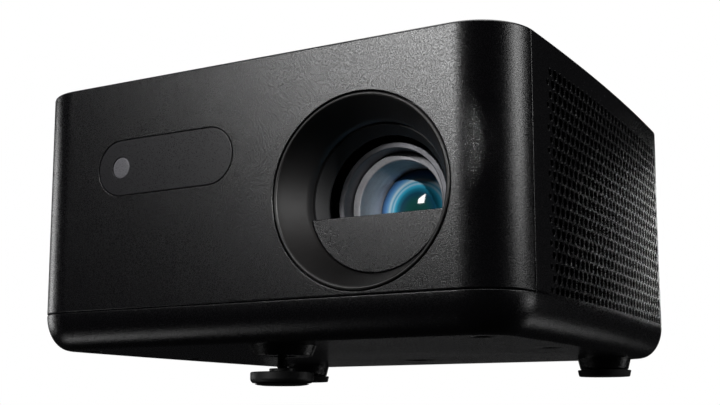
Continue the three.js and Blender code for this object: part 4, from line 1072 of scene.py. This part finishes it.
def prism_material():
    """Ground optical glass: clear, with a faint blue-green coating."""
    material, tree, place = start_material("prism_glass")
    haze = add_node(tree, "TexNoise", {"Vector": place, "Scale": 1 / (2 * MM)})
    tint = add_node(tree, "ValToRGB", {"Fac": haze}, [(0.3, "#9fc0c8"), (0.7, "#b8d3d8")])
    gloss = add_node(tree, "ValToRGB", {"Fac": haze}, [(0.3, 0.02), (0.7, 0.08)])
    shader = add_node(tree, "BsdfPrincipled", {
        "Base Color": tint, "Roughness": gloss, "IOR": 1.52, "Transmission Weight": 0.8})
    add_node(tree, "OutputMaterial", {"Surface": shader})
    return material


# Cast aluminium: dull grey with a coarse sandy skin. Copper: warm, lightly oxidised. Galvanised
# steel: pale grey with slow spangles. Turned brass: yellow and fairly bright.
paint_nodes(metal_material("cast_aluminium", "#77787a", "#939496", 0.5, 0.9, 0.04),
            "light_engine_housing", "lens_holder")
paint_nodes(metal_material("extruded_aluminium", "#8b8c8e", "#a2a3a5", 0.38, 0.4), "heat_sink")
paint_nodes(metal_material("oxidised_copper", "#8d5334", "#b87248", 0.35, 0.6),
            "light_base_plate", "heat_pipe_lower", "heat_pipe_upper")
paint_nodes(metal_material("galvanised_steel", "#7b7d80", "#999b9e", 0.4, 3.0), "chassis_plate")
paint_nodes(nickel_steel, "focus_motor")
paint_nodes(metal_material("turned_brass", "#94763c", "#b5944e", 0.3, 0.4),
            "focus_pinion", "front_foot_insert", "led_module_1", "led_module_2", "led_module_3")
paint_nodes(board_material(), "main_board", "led_driver_board", "image_chip_board", "sensor_board")
paint_nodes(prism_material(), "prism")


# ---- Floor and light ----
# Pale floor at the level of the feet. It is clear from underneath, because the eye is lower.
MOTTLE_SIZE = 33
FLOOR_REACH = 1700


def floor_material():
    material, tree, place = start_material("pale_floor")
    mottle = add_node(tree, "TexNoise", {"Vector": place, "Scale": 1 / (MOTTLE_SIZE * MM), "Detail": 2})
    tone = add_node(tree, "ValToRGB", {"Fac": mottle}, [(0.3, "#e6e6e6"), (0.7, "#eeeeee")])
    pale = add_node(tree, "BsdfDiffuse", {"Color": tone})
    clear = add_node(tree, "BsdfTransparent")
    side = add_node(tree, "NewGeometry")
    both = add_node(tree, "MixShader", {"Fac": side.outputs["Backfacing"], 1: pale, 2: clear})
    add_node(tree, "OutputMaterial", {"Surface": both})
    return material


floor = make_shape("floor", [(x * FLOOR_REACH, y * FLOOR_REACH, 0)
                             for x, y in ((-1, -1), (1, -1), (1, 1), (-1, 1))], [(0, 1, 2, 3)])
floor.data.materials.append(floor_material())
floor.visible_diffuse = False
floor.visible_glossy = False
floor.visible_shadow = False

world = bpy.data.worlds.new("studio")
world.use_nodes = True
world.node_tree.nodes.clear()
seen = add_node(world.node_tree, "LightPath")
blend = add_node(world.node_tree, "MixRGB", {
    "Fac": seen.outputs["Is Camera Ray"], "Color1": (0.008, 0.008, 0.0085, 1), "Color2": (1, 1, 1, 1)})
sky = add_node(world.node_tree, "Background", {"Color": blend})
add_node(world.node_tree, "OutputWorld", {"Surface": sky})
bpy.context.scene.world = world


LAMP_REACH = 1200
BODY_MIDDLE = (0, 0, 70)
SNOOT_RADIUS = 12


def aim(lamp, name, target, turn, height, reach=LAMP_REACH):
    """Hangs a lamp at a compass turn and an angle above its target, and points it there."""
    turn, height = math.radians(turn), math.radians(height)
    toward = Vector((math.sin(turn) * math.cos(height), -math.cos(turn) * math.cos(height), math.sin(height)))
    holder = bpy.data.objects.new(name, lamp)
    holder.location = (Vector(target) + toward * reach) * MM
    holder.rotation_euler = (-toward).to_track_quat("-Z", "Y").to_euler()
    holder.visible_camera = False
    bpy.context.scene.collection.objects.link(holder)


def soft_box(name, turn, height, width, tall, power, reach=LAMP_REACH):
    """A rectangular lamp that looks at the body. Its power is in watts."""
    lamp = bpy.data.lights.new(name, "AREA")
    lamp.shape = "RECTANGLE"
    lamp.size, lamp.size_y = width * MM, tall * MM
    lamp.energy = power
    aim(lamp, name, BODY_MIDDLE, turn, height, reach)


soft_box("key", -19, 23, 140, 240, 5.8)
soft_box("left", -92, 3, 250, 500, 1.6)
soft_box("right", 97, 19, 300, 400, 3)
soft_box("rear_right", 176, 8, 140, 200, 0.8)
soft_box("rear", 118, -8, 250, 250, 0.8)
soft_box("low_left", -66, -40, 300, 200, 0.5)
soft_box("low_right", 150, -25, 250, 200, 0.22)
soft_box("under", -156, -4, 500, 100, 0.028)
soft_box("overhead", 180, 84, 2400, 2400, 48, 2400)


# Two snooted lamps. One beside the eye reaches down the lens barrel, and one at the right
# lights the far wall of the funnel.
def snoot(name, target, turn, height, power, spread_angle, blend):
    lamp = bpy.data.lights.new(name, "SPOT")
    lamp.energy = power
    lamp.spot_size = math.radians(spread_angle)
    lamp.spot_blend = blend
    lamp.shadow_soft_size = SNOOT_RADIUS * MM
    aim(lamp, name, target, turn, height)


snoot("barrel_snoot", (LENS_X, LENS_Y + BARREL_FRONT, LENS_Z + 3), 27, 12, 85, 1.9, 0.6)
snoot("funnel_snoot", (LENS_X - 24, LENS_Y + 6, LENS_Z - 6), 64, 16, 80, 2.2, 0.8)
